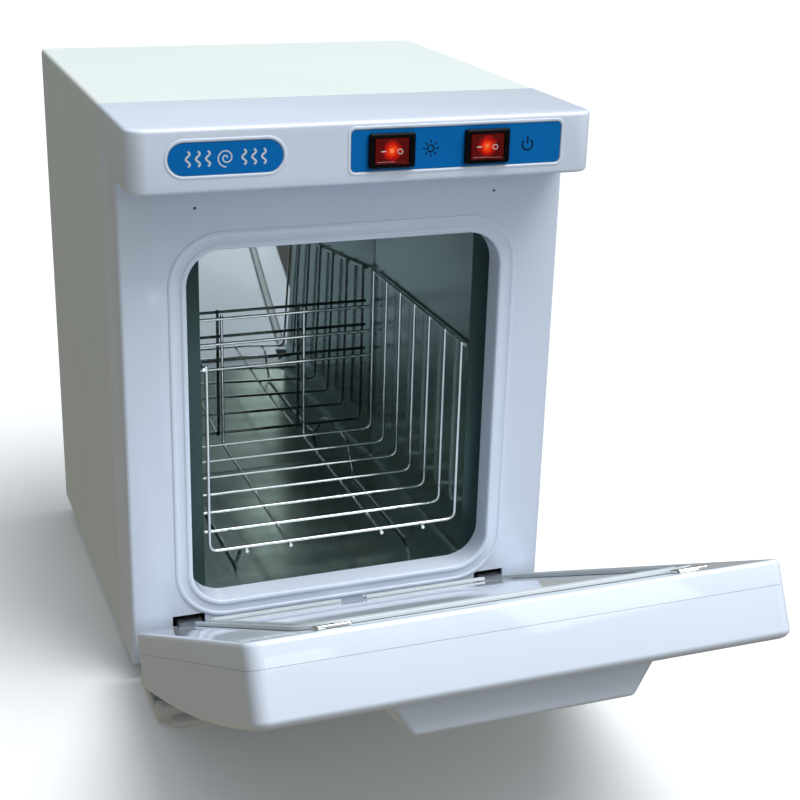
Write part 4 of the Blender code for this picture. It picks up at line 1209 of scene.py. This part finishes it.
    def symbols(self) -> None:
        """Print a lamp symbol, a power symbol and a rolled towel with rising heat."""
        circle = [(1.9 * math.cos(math.radians(a)), 1.9 * math.sin(math.radians(a)))
                  for a in range(0, 361, 15)]
        rays = [self.bar(0.9, 0.35, 3.9, 0.0, math.radians(turn)) for turn in range(0, 360, 45)]
        lamp = self.flat([self.band(circle, 0.8), *rays], 34.5, self.switch_z)
        self.shop.piece("lamp_symbol", lamp, DARK_INK, Mount.CABINET, "blue_film")
        gap = [(3.2 * math.sin(math.radians(a)), 3.2 * math.cos(math.radians(a))) for a in range(38, 323, 12)]
        power = self.flat([self.band(gap, 0.95), self.bar(0.48, 2.1, 0.0, 2.6)], 94.5, self.switch_z - 0.4)
        self.shop.piece("power_symbol", power, DARK_INK, Mount.CABINET, "blue_film")
        roll = [((0.5 + 0.0072 * a) * math.cos(math.radians(a)),
                 (0.5 + 0.0072 * a) * math.sin(math.radians(a))) for a in range(0, 631, 15)]
        shapes = [self.band(roll, 0.75)]
        for x in (-21.0, -15.5, -10.0, 10.0, 15.5, 21.0):
            wave = [(x + 1.1 * math.sin(math.radians(a)), -4.2 + 8.4 * a / 540) for a in range(0, 541, 20)]
            shapes.append(self.band(wave, 1.1))
        badge = self.flat(shapes, -83.8, 325.5)
        self.shop.piece("heat_symbol", badge, PALE_INK, Mount.CABINET, "blue_film")

    def build(self) -> None:
        """Make the switches and symbols and dress the films."""
        self.switches()
        self.symbols()
        self.shop.dress(FILM, "control_label", "badge_label")


# Drip tray -------------------------------------------------------------------------------

@dataclass
class DripTray:
    """The sliding tray below the door and its rails."""

    shop: Workshop
    half: float = 134.0
    floor: float = -10.2
    front: float = -57.0
    lip: float = -62.0
    rim: float = -4.8
    front_rim: float = 2.5
    back: float = -3.0
    wall: float = 1.6

    def build(self) -> None:
        """Make the tray with its pan, its front lip and its sliding tongue."""
        outline = [(self.back, self.rim), (self.back, self.floor), (self.front, self.floor),
                   (self.front, self.front_rim), (self.front + 9, self.front_rim),
                   (self.front + 12, self.rim)]
        bm = slab(outline, "X", -self.half, self.half)
        soften(bm, lambda a, b: along(0)(a, b) and abs(a.y - self.front) < SAME
               and abs(a.z - self.floor) < SAME, 10.0, 10)
        soften(bm, lambda a, b: abs(abs(a.x) - self.half) < SAME and abs(abs(b.x) - self.half) < SAME, 1.6, 4)
        half_pan = self.half - 2.0
        pan = [(-half_pan, self.front + 3.5), (half_pan, self.front + 3.5), (half_pan, self.back - 1.8),
               (-half_pan, self.back - 1.8)]
        bm = boolean(bm, "DIFFERENCE", [pillow(pan, "Z", 10.0, self.floor + self.wall, 10.0, 1.2)])
        lip = slab([(-126, self.lip), (126, self.lip), (126, self.front + 4), (-126, self.front + 4)],
                   "Z", self.floor, self.floor + 4)
        soften(lip, lambda a, b: abs(a.y - self.lip) < SAME and abs(b.y - self.lip) < SAME, 1.4, 4)
        tongue = block((-95, self.back - 1.5, -8.2), (95, 100, -6.6))
        bm = boolean(bm, "UNION", [lip, tongue])
        self.shop.piece("water_tray", bm, TRAY_ABS, Mount.TRAY, "tray_abs", ["drip_tray"], 32.0)
        self.shop.dress(ZINC, "tray_rail_left", "tray_rail_right")


# Studio --------------------------------------------------------------------------------------

@dataclass
class Studio:
    """A pale floor, soft lights and the camera, in metres."""

    shop: Workshop
    camera_place: tuple[float, float, float] = (-0.2844, -0.8222, 0.5088)
    camera_turn: tuple[float, float, float] = (68.916, -1.547, -20.435)
    lens: float = 68.6
    shift_y: float = 0.0086
    floor_half: float = 14.0
    sun_energy: float = 2.35
    sun_angle: float = 36.0
    sun_travel: tuple[float, float, float] = (-0.36, 0.28, -1.0)
    sky_bright: tuple[float, float, float] = (0.33, -0.16, 0.93)
    sky_strength: float = 0.9

    def floor(self) -> None:
        """Lay the floor just under the feet."""
        bm = bmesh.new()
        bmesh.ops.create_grid(bm, x_segments=1, y_segments=1, size=self.floor_half)
        mesh = bpy.data.meshes.new("studio_floor")
        bm.to_mesh(mesh)
        bm.free()
        mesh.materials.append(self.shop.paint.get(FLOOR))
        item = placed("studio_floor", mesh)
        item.visible_diffuse = False
        item.visible_glossy = False

    def light(self, name: str, spot: Sequence[float], aim: Sequence[float], size: float, power: float,
              colour: str) -> None:
        """Hang one square soft light.

        Args:
            name: The light's name.
            spot: Where it hangs.
            aim: What it faces.
            size: Its side.
            power: Its power in watts.
            colour: Its colour as an sRGB hex code.
        """
        data = bpy.data.lights.new(name, "AREA")
        data.size = size
        data.energy = power
        data.color = linear(colour)[:3]
        item = placed(name, data)
        item.location = spot
        item.rotation_euler = (Vector(aim) - Vector(spot)).to_track_quat("-Z", "Y").to_euler()

    def sun(self) -> None:
        """Add a broad, even light from above, in front and to the right."""
        data = bpy.data.lights.new("ceiling", "SUN")
        data.energy = self.sun_energy
        data.angle = math.radians(self.sun_angle)
        data.color = linear("#FBFCFF")[:3]
        item = placed("ceiling", data)
        item.rotation_euler = Vector(self.sun_travel).to_track_quat("-Z", "Y").to_euler()

    def sky(self) -> None:
        """Surround the set with light: bright above, dim and warm to the left and below."""
        world = bpy.data.worlds.new("studio_air")
        world.use_nodes = True
        tree = world.node_tree
        place = node(tree, "ShaderNodeTexCoord")
        facing = node(tree, "ShaderNodeVectorMath", operation="DOT_PRODUCT")
        tree.links.new(place.outputs["Generated"], facing.inputs[0])
        facing.inputs[1].default_value = Vector(self.sky_bright).normalized()
        level = node(tree, "ShaderNodeMapRange", {"Value": facing.outputs["Value"], "From Min": -1.0,
                                                  "From Max": 1.0, "To Min": 0.0, "To Max": 1.0})
        ramp = node(tree, "ShaderNodeValToRGB", {"Fac": level.outputs["Result"]})
        stops = ramp.color_ramp.elements
        stops[0].position, stops[0].color = 0.1, linear("#9A968A")
        stops[1].position, stops[1].color = 0.95, linear("#F4FAFF")
        for position, colour in ((0.42, "#84827B"), (0.60, "#7C8188")):
            stops.new(position).color = linear(colour)
        shade = tree.nodes["Background"]
        tree.links.new(ramp.outputs["Color"], shade.inputs["Color"])
        shade.inputs["Strength"].default_value = self.sky_strength
        bpy.context.scene.world = world

    def camera(self) -> None:
        """Set up the camera."""
        data = bpy.data.cameras.new("camera")
        data.lens = self.lens
        data.shift_y = self.shift_y
        item = placed("camera", data)
        item.location = self.camera_place
        item.rotation_euler = Euler([math.radians(turn) for turn in self.camera_turn])
        bpy.context.scene.camera = item

    def build(self) -> None:
        """Set up the whole studio."""
        self.camera()
        self.floor()
        self.sky()
        middle = (0.0, 0.0, 0.18)
        self.light("window", (0.5, -1.2, 1.7), middle, 0.7, 2.5, "#F1F6FF")
        self.light("low_card", (0.50, -1.05, 0.62), (0.0, 0.1, 0.10), 0.26, 0.5, "#FFFDF6")
        self.light("edge_card", (0.10, -1.35, 0.70), (-0.13, -0.27, 0.13), 0.14, 0.12, "#FFFFFF")
        self.sun()


def main() -> None:
    """Build the studio and every piece of the cabinet."""
    logging.basicConfig(level=logging.INFO, format="%(name)s %(message)s")
    bpy.context.scene.view_settings.view_transform = "Standard"
    shop = Workshop()
    for part in (Studio(shop), Casing(shop), Chamber(shop), Door(shop), Controls(shop), DripTray(shop)):
        LOG.info("building %s", type(part).__name__)
        part.build()


def write_sizes() -> None:
    """Update the view layer; nothing is written."""
    bpy.context.view_layer.update()


if __name__ == "__main__":
    main()
    write_sizes()
